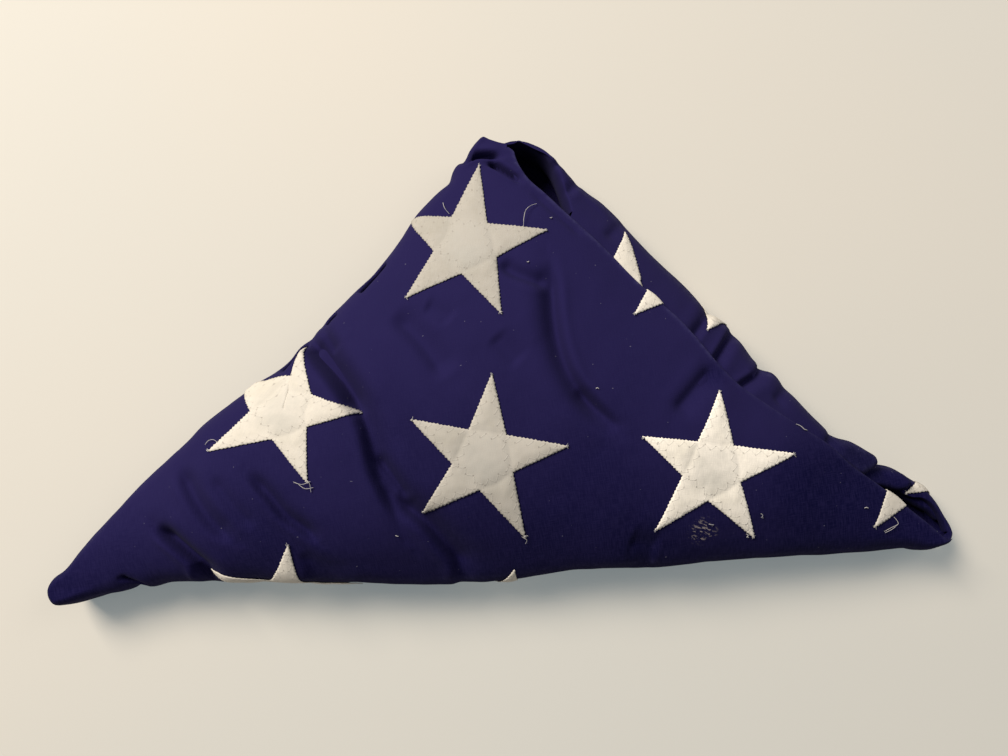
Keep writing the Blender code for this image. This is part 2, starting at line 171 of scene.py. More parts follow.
# Inner wrap. Right side, from the lobe at the tip up to the loop at the apex: x, y, stand, lower height, mm.
INNER_RIM = (
    (201, -69.5, 3.5, 30), (211, -77, 3.5, 29), (219.5, -82, 4, 28), (226, -80, 4.2, 27.8),
    (231, -77.5, 4.6, 27.5), (234.6, -74.2, 4.8, 27), (234.2, -70, 5, 26), (228.5, -64.8, 6, 22),
    (219, -58.6, 7.5, 14), (209.5, -55.2, 8.5, 8), (200, -46, 9.5, 4), (190, -35, 10.5, 3.2),
    (179, -22, 11.5, 3.2), (171.5, -13.5, 12, 3.2), (166, -11.8, 11, 3.2), (161.5, -6, 11.5, 3.2),
    (155.5, 5, 12, 3.2), (149, 14.5, 12, 3.2), (142, 20, 11.5, 3.2), (136, 23.2, 10, 3.2),
    (131.5, 31.5, 11, 3.2), (123.5, 42, 12, 3.2), (109, 57.5, 12, 3.2), (93.5, 74, 11.5, 3.2),
    (83, 88, 11, 3.2), (72, 99.5, 10, 3.2), (62, 107, 9, 3.2), (52.5, 116.5, 6.5, 3.2),
    (46, 124.6, 4.8, 3.2), (39.5, 130.4, 4, 3.2), (31, 134.4, 3.4, 3.2), (24, 137.6, 3, 3.2),
    (18.5, 138.6, 2.4, 3.2), (15.5, 136.4, 1.8, 3.5), (8, 134.8, 1.4, 4), (3, 133.2, 1.2, 5),
)
# The hollow at the apex, from its left end down to where the front covers it: x, y, stand, lower height, mm.
HOLLOW_RIM = (
    (6, 131.4, 0.6, 10), (11, 133, 0.8, 10), (16, 134, 1.2, 9), (21.5, 133.4, 1.8, 9), (28, 130.8, 2.2, 9),
    (33.5, 127.2, 2.6, 9), (38, 122, 3, 9), (41.5, 114, 3, 10), (44, 105, 3, 12), (46, 96, 3, 14),
    (47.5, 86, 3, 16),
)
# The inner wrap's hidden edge under the front.
UNDER_EDGE = ((46, 76), (60, 47), (80, 22), (100, -2), (122, -28), (146, -50), (172, -66), (192, -71))
UNDER_STEP = 0.004
INNER_DROP = 0.0036

# Free edges of the flat back layer, from the left tip past the right tip to the apex, and of the layer
# above it, from the right tip past the apex to the left tip: x and y in millimetres.
BACK_FREE_EDGE = (
    (-236, -112), (-100, -109.5), (50, -108.5), (180, -108), (214, -106), (218, -98), (150, -30), (95, 36),
    (45, 92), (12, 116),
)
ABOVE_FREE_EDGE = (
    (284.4, -121.6), (286, -118.8), (285, -114.6), (281.6, -108), (276.8, -99.5), (269.5, -91.5), (259, -85),
    (246, -79), (232, -75), (192, -48), (154, -22), (126, 12), (98, 44), (62, 82), (36, 106), (10, 121),
    (-12, 104), (-70, 36), (-158, -37), (-234, -104.5),
)
BACK_STEP = 0.006
# Rows over which the outer fold's foot passes from the one layer to the other, past the left tip.
FOOT_ROWS = 8

# Creases of the inner wrap, as those of the front.
INNER_CREASES = (
    (((135, 24), (128, 15.5), (121, 8), (115, 1)), 3, 3.2, -0.35),
    (((150, 13), (143, 6), (137, -1), (131, -8), (126, -14)), 2.8, 4.4, 0.30),
    (((166, -10), (158, -17), (149, -22), (141, -26)), 2.8, 4.2, 0.35),
    (((180, -23), (172, -30), (165, -35)), 4, 1.6, 0.20),
    (((209, -54), (203, -58), (196, -60)), 3, 2.6, 0.20),
    (((47, 128), (43, 121), (40, 114)), 2, 2, 0.20),
    (((58, 112), (52, 104), (47, 98)), 3, 2, -0.20),
    (((84, 86), (77, 76), (70, 68)), 4, 1.3, 0.20),
)

# Ends of deeper turns that show at the right tip. For each: how far below the front it lies, its skirted
# rim (x, y, stand, lower height) and its hidden edge, in millimetres.
DEEPER_ENDS = {
    "second": (9.5, (
        (218, -88, 2.5, 20), (232, -88.3, 3, 20), (243, -90.4, 3.5, 20), (250.5, -91.6, 4, 19),
        (256, -90.2, 4.3, 18), (258, -86.8, 4.6, 17.5), (255.6, -83, 5, 17), (250, -79.4, 5.5, 15),
        (243, -77.2, 6, 14), (234, -75.4, 6, 14), (226, -71, 6, 14), (214, -63, 6, 14),
    ), ((206, -66), (206, -78))),
    "third": (15.5, (
        (226, -82, 1.2, 14), (236, -85, 1.2, 14), (245, -89, 1.2, 14), (253.5, -94.2, 1.2, 14),
        (260, -97.2, 1.2, 14), (266, -97.8, 1.2, 14), (270.6, -100.6, 1.2, 14), (275.2, -106.2, 1.2, 14),
        (278.6, -112.6, 1.2, 14), (280.4, -119, 1.2, 14),
    ), None),
    "twisted": (20, (
        (232, -84.5, 2, 7), (242, -88.5, 2.4, 7), (251, -94, 2.8, 7), (260.5, -99.8, 3, 7),
        (267, -103.8, 2.8, 7), (273, -107.2, 2.4, 7), (278, -111.8, 2, 7),
    ), ((279.5, -110), (276, -103), (269, -96), (256, -89), (243, -83.5), (233, -80.5))),
}
# The outer side of the third of them, which has no hidden edge.
TIP_RIM = (
    (273, -125, 1.8, 9), (278.5, -125.6, 2, 8), (282.6, -124.4, 2.2, 6.5), (284.8, -121, 2.4, 5.5),
    (284, -115.6, 2.6, 5), (280.6, -109, 2.8, 4.5), (276, -100.5, 3.2, 4), (269.5, -92, 4, 3.6),
    (260.5, -85, 5, 3.6), (248, -77.5, 5, 4), (238, -76, 5, 6), (230, -76.5, 4, 12), (224, -76.5, 4, 14),
)

# Steps and unevenness of these ends.
END_STEP = 0.0015
END_ROUGH = 0.0004
END_EDGE_STEP = 0.003
END_PANEL_STEP = 0.0016

# How the rims' folds are made: seed and size of their unevenness, how far the rim is moved out, and the rest.
OUTER_FOLD = {"seed": 11.3, "rough": 0.0011, "swell": 0.0013}
INNER_FOLD = {"seed": 17.9, "rough": 0.0010, "swell": -0.0012, "tail": 0.030}
HOLLOW_FOLD = {"seed": 19.4, "rough": 0.0004}
TIP_FOLD = {"seed": 18.5, "rough": 0.0005, "swell": 0.0010, "step": END_STEP}

# The inner turns of the roll. Each side: first corner, last corner, bulge, how far short of the corners its
# longest layer stops, and how far its middle dips in.
ROLL_LAYERS = 11
ROLL_MIDDLE = 7
ROLL_LEVELS = 13
ROLL_SIDES = {
    "long": (LEFT_CORNER, RIGHT_CORNER, 0.017, (0.047, 0.046), 0.0),
    "right": (RIGHT_CORNER, APEX, 0.012, (0.046, 0.018), 0.002),
    "left": (APEX, LEFT_CORNER, 0.012, (0.018, 0.047), 0.008),
}
ROLL_STEP = 0.013
ROLL_POINTS = 22
# Room between the front and the hidden layers: at the rims, and more of it over the middle.
ROLL_ROOM = (0.0060, 0.0085)
# Per turn, how much further in a layer's sides and its ends lie; and how far in a side lies that has no fold.
TURN_INSET = 0.0018
TURN_CUT = 0.006
FOLD_GAP = 0.0015
OPEN_INSET = 0.017
# A hidden fold's bulge: its share at the ends, its growth and over which length, and the smallest.
BULGE_END = 0.42
BULGE_GROWTH = 0.58
BULGE_REACH = 0.060
BULGE_LEAST = 0.0022

# Shape of the folds: where they stand out most, as a share of their height, and how full they are.
FOLD_MIDDLE = 0.46
FOLD_FULLNESS = 0.56
# The slope with which a fold leaves its layer is measured over this step, and is at most so steep.
SLOPE_STEP = 0.0015
STEEPEST = 1.3
# A tail under the inner wrap goes where its fold comes down this low.
TAIL_LOW = (0.0045, 0.0035)
TAIL_POINTS = 3
# Unevenness of the folds: scale along and up of two noises, the second one's share, and where it starts.
COARSE = (0.034, 0.016)
FINE = (0.012, 0.008)
FINE_SHARE = 0.35
ROUGH_START = 0.22
ROUGH_END = 0.80

# Stars: mesh, radius, the inner corners' share of it, lift off the cloth, thickness, puff between the seams
# and its reach, puckers, and the teeth of the edge: pitch, height, their spread, and how far they are shifted.
STAR_STEP = 0.00115
STAR_MARGIN = 0.45
STAR_RADIUS = 0.04695
CORNER_SHARE = 0.382
STAR_LIFT = 0.00035
STAR_THICK = 0.00045
STAR_PUFF = 0.0009
PUFF_REACH = 0.0045
PUCKER = 0.00012
PUCKER_SCALE = 0.004
PUCKER_SEED = 5.0
TOOTH_PITCH = 0.0021
TOOTH_HEIGHT = 0.00042
TOOTH_SPREAD = (0.4, 1.3)
TOOTH_SHIFT = 0.2
GAP_BETWEEN_TEETH = -0.4
STAR_SEED = 40
STARS = (
    # name, node it replaces, wrap that carries it, x, y, turn of its first tip in degrees, paleness; the
    # paleness is partly the star's own tone and partly painted light, lighter or darker as the light falls on
    # each star
    ("apex_star", "star_apex", "outer", -0.0138, 0.0633, 80.0, 0.53),
    ("left_star", "star_left", "outer", -0.1238, -0.0315, 76.0, 0.85),
    ("centre_star", "star_centre", "outer", -0.0080, -0.0610, 80.0, 0.64),
    ("right_star", "star_right", "outer", 0.1220, -0.0720, 81.5, 1.25),
    ("bottom_left_star", "star_bottom_left", "outer", -0.1330, -0.1560, 81.0, 0.95),
    ("bottom_star", "star_bottom_tip", "outer", 0.0000, -0.1770, 81.0, 0.92),
    ("edge_upper_star", "star_edge_upper", "outer", 0.1179, 0.0488, 76.0, 0.98),
    ("edge_lower_star", "star_edge_lower", "outer", 0.2555, -0.0775, 82.0, 0.82),
    ("inner_upper_star", "star_inner_upper", "inner", 0.0757, 0.0298, 78.8, 0.98),
    ("inner_middle_star", "star_inner_middle", "inner", 0.1610, 0.0430, 81.0, 0.98),
    ("inner_lower_star", "star_inner_lower", "third", 0.2985, -0.0766, 57.4, 0.86),
)
# How far each tip of a star is pulled from its regular place, in millimetres, anticlockwise from the first.
NO_PULLS = ((0, 0),) * 5
PULLS = {
    "apex_star": ((0, 8.6), (1.3, 3.4), (-3.2, 2.2), (-2.2, -0.8), (0.8, 1.2)),
    "centre_star": ((-2, 1), (1, 1), (-3, 2), (1.5, -5), (1.5, -1.5)),
    "right_star": ((0, -1.5), (2, -1), (0, -1), (5, 0), (4, -1)),
    "left_star": ((-3.2, -3.6), (2.8, 0.5), (-10.2, 9.5), (-2.7, 3.4), (-1.2, -4.5)),
    "bottom_left_star": ((2.3, 2.6), (-1, 10), (0, 0), (0, 0), (0, 0)),
}
# The same for the inner corners that creases move: each follows its tip anticlockwise.
CORNER_PULLS = {
    "apex_star": ((-1.2, 3.5), (-2.2, 0.6), (-0.8, 0.4), (0.8, 0), (-1, 0.8)),
    "left_star": ((10.5, 5.0), (-3.0, 3.2), (-1.6, 2.8), (-0.4, 1.0), (3.6, -1.4)),
}
# Arms of stars that are left out: the number of the tip, and where an arm starts, as a share of the
# radius. No star comes lower than the last height.
TUCKED = {"inner_upper_star": 4, "inner_lower_star": 3, "edge_lower_star": 3}
ARM_START = 0.31
STAR_LOWEST = 0.004
# Stars on the back: name, x and y.
BACK_STARS = (
    ("back_star_left", -0.0900, -0.0720), ("back_star_right", 0.0700, -0.0550), ("back_star_top", 0.0, 0.0450),
)
BACK_STAR_TURN = 97.0
BACK_STAR_SEED = 80
BACK_STAR_STEP = 0.004
BACK_STAR_HEIGHT = BACK_HEIGHT - 0.0002
BACK_STAR_THICK = 0.0003
BACK_STAR_PALENESS = 0.9

# Threads: step along them, lift off the cloth and thickness.
THREAD_STEP = 0.0012
THREAD_LIFT = 0.0006
THREAD_THICK = {"loose_threads": 0.00030, "frayed_tips": 0.00024, "lint": 0.00050}
# Threads at each star tip, in millimetres: how many, how far inside the tip they start, how far they turn
# (radians), their length, bend and heights, and the seed of their shapes.
FRAY_COUNT = 5
FRAY_START = 1.2
FRAY_TURN = 1.3
FRAY_LENGTH = (0.7, 2.2)
FRAY_BEND = 0.4
FRAY_HEIGHTS = (0.5, 0.9)
FRAY_END_HEIGHT = (0.2, 1.0)
FRAY_SEED = 9

# Seams of the stars: needle holes and thread of a zigzag stitch, a little inside the tip-to-tip lines
SEAM_PITCH = 0.0032
SEAM_WIDTH = 0.0028
SEAM_INSET = 0.0009
SEAM_REACH = STAR_RADIUS * math.cos(math.radians(72))

# Colours
NAVY_DEEP = (0.0032, 0.0028, 0.0270, 1.0)
NAVY_FADED_AND_LIT = (0.0150, 0.0112, 0.0560, 1.0)
NAVY_THREAD = (0.0160, 0.0125, 0.0580, 1.0)
# Paler navy of wear, also used for the painted highlight along the front's free edge
NAVY_WORN_AND_HIGHLIT = (0.0380, 0.0340, 0.0980, 1.0)
# Painted shade: the navy is painted lighter towards this direction and darker away from it, so darker towards
# the bottom
PAINTED_LIGHT_TOWARD = (-0.10, 0.95, 0.0)
# Wear of each cloth: its reach, and its fold's line: every how many sections, which point of each, how strong.
OUTER_WEAR = (0.0018, 2, 9, 0.4)
INNER_WEAR = (0.0040, 3, 8, 0.6)
ROLL_WEAR = (0.0030, 2, 8, 0.6)
# Wear of the front's free edge, and a painted highlight along its upper half.
EDGE_WEAR = 0.35
UPPER_EDGE_HIGHLIGHT = 0.9
# Spots where the navy is made paler, by fading, and darker, as painted shade in creases and towards the
# lower right: x, y and radius in millimetres, and by how much.
FADED_AND_SHADED_SPOTS = (
    (150, -40, 24, 0.45), (118, -56, 16, 0.20), (112, 20, 18, 0.20), (82, 72, 22, 0.25),
    (-72, 22, 26, 0.12), (-100, -78, 22, 0.18), (-190, -70, 20, 0.15), (-40, 45, 20, 0.10),
    (70, 60, 14, 0.10), (205, -98, 34, -0.45), (178, -82, 22, -0.30), (218, -76, 18, -0.35),
    (72, -12, 22, -0.15), (84, -116, 16, -0.40), (20, -105, 34, -0.20), (28, 44, 9, -0.25),
    (128, -17, 9, -0.50), (-60, -30, 24, -0.12), (60, -70, 24, -0.15), (255, -112, 18, -0.30),
    (-45, -112, 36, 0.22), (-190, -108, 30, 0.18), (5, -114, 30, 0.12),
)
LINT_COLOUR = (0.18, 0.17, 0.22, 1.0)
SCUFF_COLOUR = (0.50, 0.42, 0.36, 1.0)
SCUFF_CENTRE = (0.1170, -0.1065, 0.055)
CREAM_LIGHT = (0.76, 0.69, 0.59)
CREAM_DULL = (0.66, 0.60, 0.50)
# Grey of the stars: weave, thread, and the grey middle that is partly painted shade
STAR_GREY = (0.46, 0.44, 0.40, 1.0)
NEEDLE_HOLE = (0.22, 0.18, 0.15, 1.0)
THREAD_LIGHT = (0.50, 0.47, 0.43, 1.0)
THREAD_DULL = (0.24, 0.23, 0.25, 1.0)
FLOOR_LIGHT = (0.50, 0.425, 0.335, 1.0)
FLOOR_DULL = (0.47, 0.415, 0.34, 1.0)
# A faint glow of the floor, for light from all round the flag
FLOOR_GLOW = (0.15, 0.18, 0.19, 1.0)

# Lights: place, size, power and colour
LIGHTS = (
    ("key", (-1.20, 1.12, 1.72), (1.0, 1.0), 80.0, (1.0, 0.955, 0.885)),
    ("side", (1.3, 0.7, 1.5), (0.9, 0.9), 7.0, (0.92, 0.96, 1.0)),
)
LIGHT_TARGET = (0.0, 0.0, 0.03)
WORLD_STRENGTH = 0.19
WORLD_COLOUR = (0.93, 0.95, 1.0, 1.0)
FLOOR_SIZE = 3.0

# Camera: lens, sensor, height of the flag's middle, reach from there, tilt, and turn and move about the flag
CAMERA_LENS = 27.036
CAMERA_SENSOR = 36.0
FLAG_MIDDLE = 0.035
CAMERA_REACH = 0.471
CAMERA_TILT = 4.6
CAMERA_TURN = -2.0
CAMERA_MOVE = (0.005, -0.013, 0.0)


# ---------------------------------------------------------------- paths and fields


def linked(name, data):
    """A new object in the scene."""
    obj = bpy.data.objects.new(name, data)
    bpy.context.scene.collection.objects.link(obj)
    return obj


def from_bmesh(name, mesh):
    data = bpy.data.meshes.new(name)
    mesh.to_mesh(data)
    mesh.free()
    return linked(name, data)


def toward(degrees):
    """Unit vector at an angle from +X, anticlockwise."""
    angle = math.radians(degrees)
    return np.array((math.cos(angle), math.sin(angle)))


def smooth_path(rows, step):
    """Points about a step apart on a smooth curve through rows of millimetres. Columns past y come along."""
    rows = np.array(rows, float) * MM
    chords = np.linalg.norm(np.diff(rows[:, :2], axis=0), axis=1)
    reach = np.concatenate(([0.0], np.cumsum(chords)))
    slopes = np.diff(rows, axis=0) / chords[:, None]
    before, after = chords[:-1, None], chords[1:, None]
    tangents = (before * slopes[1:] + after * slopes[:-1]) / (before + after)
    tangents = np.vstack((slopes[:1], tangents, slopes[-1:]))
    where = np.linspace(0.0, reach[-1], max(2, round(reach[-1] / step)) + 1)
    i = np.clip(np.searchsorted(reach, where, side="right") - 1, 0, len(chords) - 1)
    h = chords[i][:, None]
    t = (where - reach[i])[:, None] / h
    start = (2 * t**3 - 3 * t**2 + 1) * rows[i] + (t**3 - 2 * t**2 + t) * h * tangents[i]
    end = (3 * t**2 - 2 * t**3) * rows[i + 1] + (t**3 - t**2) * h * tangents[i + 1]
    return start + end


def outward(path, spread):
    """Unit normals to the right of a path, evened out over a few points each way."""
    tangents = np.gradient(path[:, :2], axis=0)
    padded = np.pad(tangents, ((spread, spread), (0, 0)), mode="edge")
    kernel = np.hanning(2 * spread + 3)[1:-1]
    evened = np.stack([np.convolve(padded[:, k], kernel, mode="valid") for k in (0, 1)], axis=1)
    evened /= np.linalg.norm(evened, axis=1)[:, None]
    return np.stack((evened[:, 1], -evened[:, 0]), axis=1)


def path_field(points, path):
    """(distance, side, share of the way, place in rows) of each point's nearest place on a path.

    The side is +1 on the path's left.
    """
    nearest = np.full(len(points), np.inf)
    side = np.ones(len(points))
    share = np.zeros(len(points))
    where = np.zeros(len(points))
    spans = np.diff(path[:, :2], axis=0)
    reach = np.concatenate(([0.0], np.cumsum(np.linalg.norm(spans, axis=1))))
    for k, span in enumerate(spans):
        offset = points - path[k, :2]
        t = np.clip(offset @ span / max(span @ span, TINY), 0.0, 1.0)
        offset = offset - t[:, None] * span
        distance = np.hypot(offset[:, 0], offset[:, 1])
        closer = distance < nearest
        nearest[closer] = distance[closer]
        left = span[0] * offset[:, 1] - span[1] * offset[:, 0]
        side[closer] = np.where(left[closer] >= 0, 1.0, -1.0)
        share[closer] = ((reach[k] + t * (reach[k + 1] - reach[k])) / reach[-1])[closer]
        where[closer] = k + t[closer]
    return nearest, side, share, where


def inside(points, ring):
    """Whether each point lies inside a closed ring."""
    odd = np.zeros(len(points), bool)
    for a, b in zip(ring, np.roll(ring, -1, axis=0)):
        crosses = (a[1] > points[:, 1]) != (b[1] > points[:, 1])
        if crosses.any():
            x = a[0] + (b[0] - a[0]) * (points[:, 1] - a[1]) / (b[1] - a[1] + TINY)
            odd ^= crosses & (points[:, 0] < x)
    return odd


EDGE_PATH = smooth_path(FREE_EDGE, RIM_STEP)


def smooth_step(value, start, end):
    t = np.clip((value - start) / (end - start), 0.0, 1.0)
    return t * t * (3 - 2 * t)


def waves(points, seed, sizes):
    """Soft seeded unevenness: the sum of noises, each given by its scale and its height."""
    total = np.zeros(len(points))
    for scale, height in sizes:
        total += height * np.array([noise.noise(Vector((*(p / scale), seed))) for p in points])
    return total


# ---------------------------------------------------------------- heights


def dome(points):
    """(height, crown share) of the front without its creases."""
    crown = np.ones(len(points))
    for first, last in ((LEFT_CORNER, RIGHT_CORNER), (RIGHT_CORNER, APEX), (APEX, LEFT_CORNER)):
        along = (last - first) / np.linalg.norm(last - first)
        depth = (first - points) @ np.array((along[1], -along[0]))
        crown *= 1.0 - np.exp(-np.maximum(depth, 0.0) / CROWN_REACH)
    rim = np.full(len(points), RIM_HEIGHT)
    for corner in (LEFT_CORNER, RIGHT_CORNER):
        near = np.exp(-((np.linalg.norm(points - corner, axis=1) / TIP_REACH) ** 2))
        rim *= 1.0 - (1.0 - TIP_HEIGHT_SHARE) * near
    return rim + (CROWN_HEIGHT - RIM_HEIGHT) * crown, crown


def crease_drop(points, creases):
    """How far creases lower the cloth: steep on one side, soft on the other, with a low swell beside."""
    drop = np.zeros(len(points))
    for path, width, depth, skew in creases:
        distance, side, share, _ = path_field(points, smooth_path(path, CREASE_STEP))
        ends = smooth_step(share, 0.0, CREASE_END) * smooth_step(share, 1.0, 1.0 - CREASE_END)
        ends = CREASE_END_DEPTH + (1.0 - CREASE_END_DEPTH) * ends
        wide = width * MM * (1.0 + skew * side)
        ratio = distance / wide
        profile = np.exp(-(ratio**2)) - SWELL_SHARE * np.exp(-((ratio - SWELL_PLACE) ** 2))
        drop += CREASE_DEPTH * depth * MM * ends * profile
    return drop


def front_height(points):
    height = dome(points)[0] - crease_drop(points, CREASES)
    height += waves(points, FRONT_SEED, FRONT_WAVES)
    distance = path_field(points, EDGE_PATH)[0]
    return height + EDGE_LIP[0] * np.exp(-((distance / EDGE_LIP[1]) ** 2))


def band_height(drop, creases, seed):
    """The height function of a turn that lies a drop below the front."""

    def height(points):
        return dome(points)[0] - drop - crease_drop(points, creases) + waves(points, seed, BAND_WAVES)

    return height


# ---------------------------------------------------------------- meshes of the wraps


def panel(ring, step, height, margin=PANEL_MARGIN):
    """A triangle mesh inside a ring: (points, faces, place in the cloth)."""
    low, high = ring.min(axis=0), ring.max(axis=0)
    rows = np.arange(low[1], high[1], step * math.sqrt(3) / 2)
    lattice = []
    for k, y in enumerate(rows):
        x = np.arange(low[0] + step * 0.5 * (k % 2), high[0], step)
        lattice.append(np.stack((x, np.full(len(x), y)), axis=1))
    lattice = np.concatenate(lattice)
    lattice = lattice[inside(lattice, ring)]
    distance = path_field(lattice, np.vstack((ring, ring[:1])))[0]
    lattice = lattice[distance > margin * step]
    places = [Vector(p) for p in np.vstack((ring, lattice))]
    edges = [(i, (i + 1) % len(ring)) for i in range(len(ring))]
    points, _, faces, _, _, _ = geometry.delaunay_2d_cdt(places, edges, [], 1, MESH_EPSILON)
    points = np.array([tuple(p) for p in points])
    return np.column_stack((points, height(points))), faces, points


def turned_over(part):
    """A part of a mesh with its faces the other way round."""
    points, faces, place = part
    return points, [face[::-1] for face in faces], place


def bezier(start, start_pull, end_pull, end, count):
    """Points of cubic curves, one row for each start, at count + 1 places along them."""
    t = np.linspace(0.0, 1.0, count + 1)[None, :]
    parts = ((1 - t) ** 3, 3 * t * (1 - t) ** 2, 3 * t**2 * (1 - t), t**3)
    return sum(point[:, None] * part for point, part in zip((start, start_pull, end_pull, end), parts))


def fold_sections(line, out, stand, low, height, tail=0.0):
    """Rows of points round a fold, one row for each point of the layer's line, and their run from it.

    A fold leaves the layer at its slope, stands out most at about half its height and comes back level.
    """
    top = height(line)
    fall = np.clip((top - height(line + out * SLOPE_STEP)) / SLOPE_STEP, 0.0, STEEPEST)
    middle = low + FOLD_MIDDLE * (top - low)
    zero = np.zeros(len(line))
    pull = FOLD_FULLNESS * stand
    half = ROUNDS // 2
    away = bezier(zero, pull, stand, stand, half)
    heights = bezier(top, top - pull * fall, middle + FOLD_FULLNESS * (top - middle), middle, half)
    away_below = bezier(stand, stand, pull, zero, half)
    heights_below = bezier(middle, middle - FOLD_FULLNESS * (middle - low), low, low, half)
    away = np.hstack((away, away_below[:, 1:]))
    heights = np.hstack((heights, heights_below[:, 1:]))
    if tail:
        reach = tail * smooth_step(low, *TAIL_LOW)
        away = np.hstack((away, -reach[:, None] * np.linspace(0.0, 1.0, TAIL_POINTS + 1)[None, 1:]))
        heights = np.hstack((heights, np.repeat(heights[:, -1:], TAIL_POINTS, axis=1)))
    return with_run(line, out, away, heights)


def with_run(line, out, away, heights):
    """Sections from distances along the normals and heights, with each point's run along its section."""
    plan = line[:, None, :] + out[:, None, :] * away[:, :, None]
    grid = np.concatenate((plan, heights[:, :, None]), axis=2)
    steps = np.linalg.norm(np.diff(grid, axis=1), axis=2)
    run = np.concatenate((np.zeros((len(line), 1)), np.cumsum(steps, axis=1)), axis=1)
    return grid, run


def turned_edge(line, out, height):
    """Sections of a free edge that is turned under."""
    angles = np.linspace(0.0, math.pi, EDGE_POINTS)
    away = np.concatenate((EDGE_ROUND * np.sin(angles), -np.linspace(0.0, EDGE_RETURN, RETURN_POINTS + 1)[1:]))
    under = np.full(RETURN_POINTS, -2 * EDGE_ROUND - EDGE_GAP)
    heights = np.concatenate((-EDGE_ROUND * (1 - np.cos(angles)), under))
    rows = len(line)
    away = np.tile(away, (rows, 1))
    from_end = np.minimum(np.arange(rows), np.arange(rows)[::-1]) * RIM_STEP
    away[:, EDGE_POINTS:] *= np.clip(from_end / EDGE_RUNOUT, EDGE_RUNOUT_START, 1.0)[:, None]
    return with_run(line, out, away, height(line)[:, None] + np.tile(heights, (rows, 1)))


def roughen(grid, out, seed, height):
    """Makes folds uneven: points move out or in, and none at the row that meets the panel."""
    count = grid.shape[1]
    share = np.arange(count) / count
    grow = smooth_step(share, 0.0, ROUGH_START) * smooth_step(share, 1.0, ROUGH_END)
    for i in range(len(grid)):
        for j in range(1, count - 1):
            x, y, z = grid[i, j]
            coarse = noise.noise(Vector((x / COARSE[0], y / COARSE[0], z / COARSE[1] + seed)))
            fine = noise.noise(Vector((x / FINE[0], y / FINE[0], z / FINE[1] - seed)))
            grid[i, j, :2] += out[i] * height * grow[j] * (coarse + FINE_SHARE * fine)
    return grid


def gapped(grid, out):
    """Presses the gaps between layers into the upper half of the outer fold."""
    upper = grid[:, 1 : grid.shape[1] // 2]
    for path, width, depth in GAPS:
        distance = path_field(upper[:, :, :2].reshape(-1, 2), smooth_path(path, GAP_STEP))[0]
        drop = depth * MM * np.exp(-((distance / (width * MM)) ** 2)).reshape(upper.shape[:2])
        upper[:, :, 2] -= drop
        upper[:, :, :2] -= GAP_LEAN * drop[:, :, None] * out[:, None, :]
    return grid


def strip_mesh(line, out, grid, run):
    """(points, faces, place in the cloth) of a grid of sections."""
    rows, count = grid.shape[:2]
    index = np.arange(rows * count).reshape(rows, count)
    quads = np.stack((index[:-1, :-1], index[:-1, 1:], index[1:, 1:], index[1:, :-1]), axis=-1).reshape(-1, 4)
    place = line[:, None, :] + out[:, None, :] * run[:, :, None]
    return grid.reshape(-1, 3), quads.tolist(), place.reshape(-1, 2)


def weld(name, parts):
    """One mesh object from several parts that share their edges. Its UV map is the place in the cloth."""
    mesh = bmesh.new()
    uv = mesh.loops.layers.uv.new("cloth")
    for points, faces, place in parts:
        verts = [mesh.verts.new(p) for p in points]
        for face in faces:
            new = mesh.faces.new([verts[i] for i in face])
            new.smooth = True
            for loop, i in zip(new.loops, face):
                loop[uv].uv = place[i]
    bmesh.ops.remove_doubles(mesh, verts=mesh.verts, dist=WELD_REACH)
    return from_bmesh(name, mesh)


def rim_sections(rows, height, seed, rough, step=RIM_STEP, tail=0.0, low=None, swell=0.0):
    """Layer line, normals and fold sections along a rim given by rows of a table."""
    path = smooth_path(rows, step)
    out = outward(path, RIM_SPREAD)
    path[:, :2] += out * swell
    line = path[:, :2] - out * path[:, 2:3]
    lowest = path[:, 3] if low is None else low(path)
    grid, run = fold_sections(line, out, path[:, 2], lowest, height, tail)
    return line, out, roughen(grid, out, seed, rough), run


def outer_low(path):
    """Lower height of the outer fold: on the back layer round the left leg, on the one above it elsewhere."""
    tip = int(np.argmin(path[:, 0]))
    past_tip = smooth_step(np.arange(len(path)), tip, tip + FOOT_ROWS)
    return BACK_HEIGHT + (STUB_HEIGHT - BACK_HEIGHT) * past_tip


def make_outer_wrap():
    """Front, long fold, left fold, back and the layer above the back."""
    line, out, grid, run = rim_sections(OUTER_RIM, front_height, low=outer_low, **OUTER_FOLD)
    rim = (line, out, gapped(grid, out), run)
    edge_out = outward(EDGE_PATH, EDGE_SPREAD)
    edge_line = EDGE_PATH[:, :2] - edge_out * EDGE_ROUND
    edge_grid, edge_run = turned_edge(edge_line, edge_out, front_height)
    edge = (edge_line, edge_out, edge_grid, edge_run)
    ring = np.vstack((line, edge_line))
    parts = [panel(ring, FRONT_STEP, front_height), strip_mesh(*rim), strip_mesh(*edge), *back_panels(rim[2])]
    round_edge = (edge_line, edge_out, edge_grid[:, :EDGE_POINTS], edge_run[:, :EDGE_POINTS])
    return weld("outer_wrap", parts), {"ring": ring, "height": front_height, "sections": [rim, round_edge]}


def back_panels(grid):
    """The flat back layer, joined to the left fold, and the layer above it, joined to the long fold."""
    foot = grid[:, -1, :2]
    tip = int(np.argmin(foot[:, 0]))
    panels = []
    for joined, free, level in (
        (foot[: tip + 1], BACK_FREE_EDGE, BACK_HEIGHT),
        (foot[tip + FOOT_ROWS :], ABOVE_FREE_EDGE, STUB_HEIGHT),
    ):
        ring = np.vstack((joined, np.array(free) * MM))
        panels.append(turned_over(panel(ring, BACK_STEP, lambda points: np.full(len(points), level))))
    return panels


def make_inner_wrap():
    """The band that shows past the front's free edge, with its fold, its end at the tip and the loop."""
    height = band_height(INNER_DROP, INNER_CREASES, INNER_SEED)
    rims = [rim_sections(INNER_RIM, height, **INNER_FOLD), rim_sections(HOLLOW_RIM, height, **HOLLOW_FOLD)]
    ring = np.vstack((rims[0][0], rims[1][0], smooth_path(UNDER_EDGE, UNDER_STEP)))
    parts = [panel(ring, FRONT_STEP, height), *(strip_mesh(*rim) for rim in rims)]
    return weld("inner_wrap", parts), {"ring": ring, "height": height, "sections": rims}


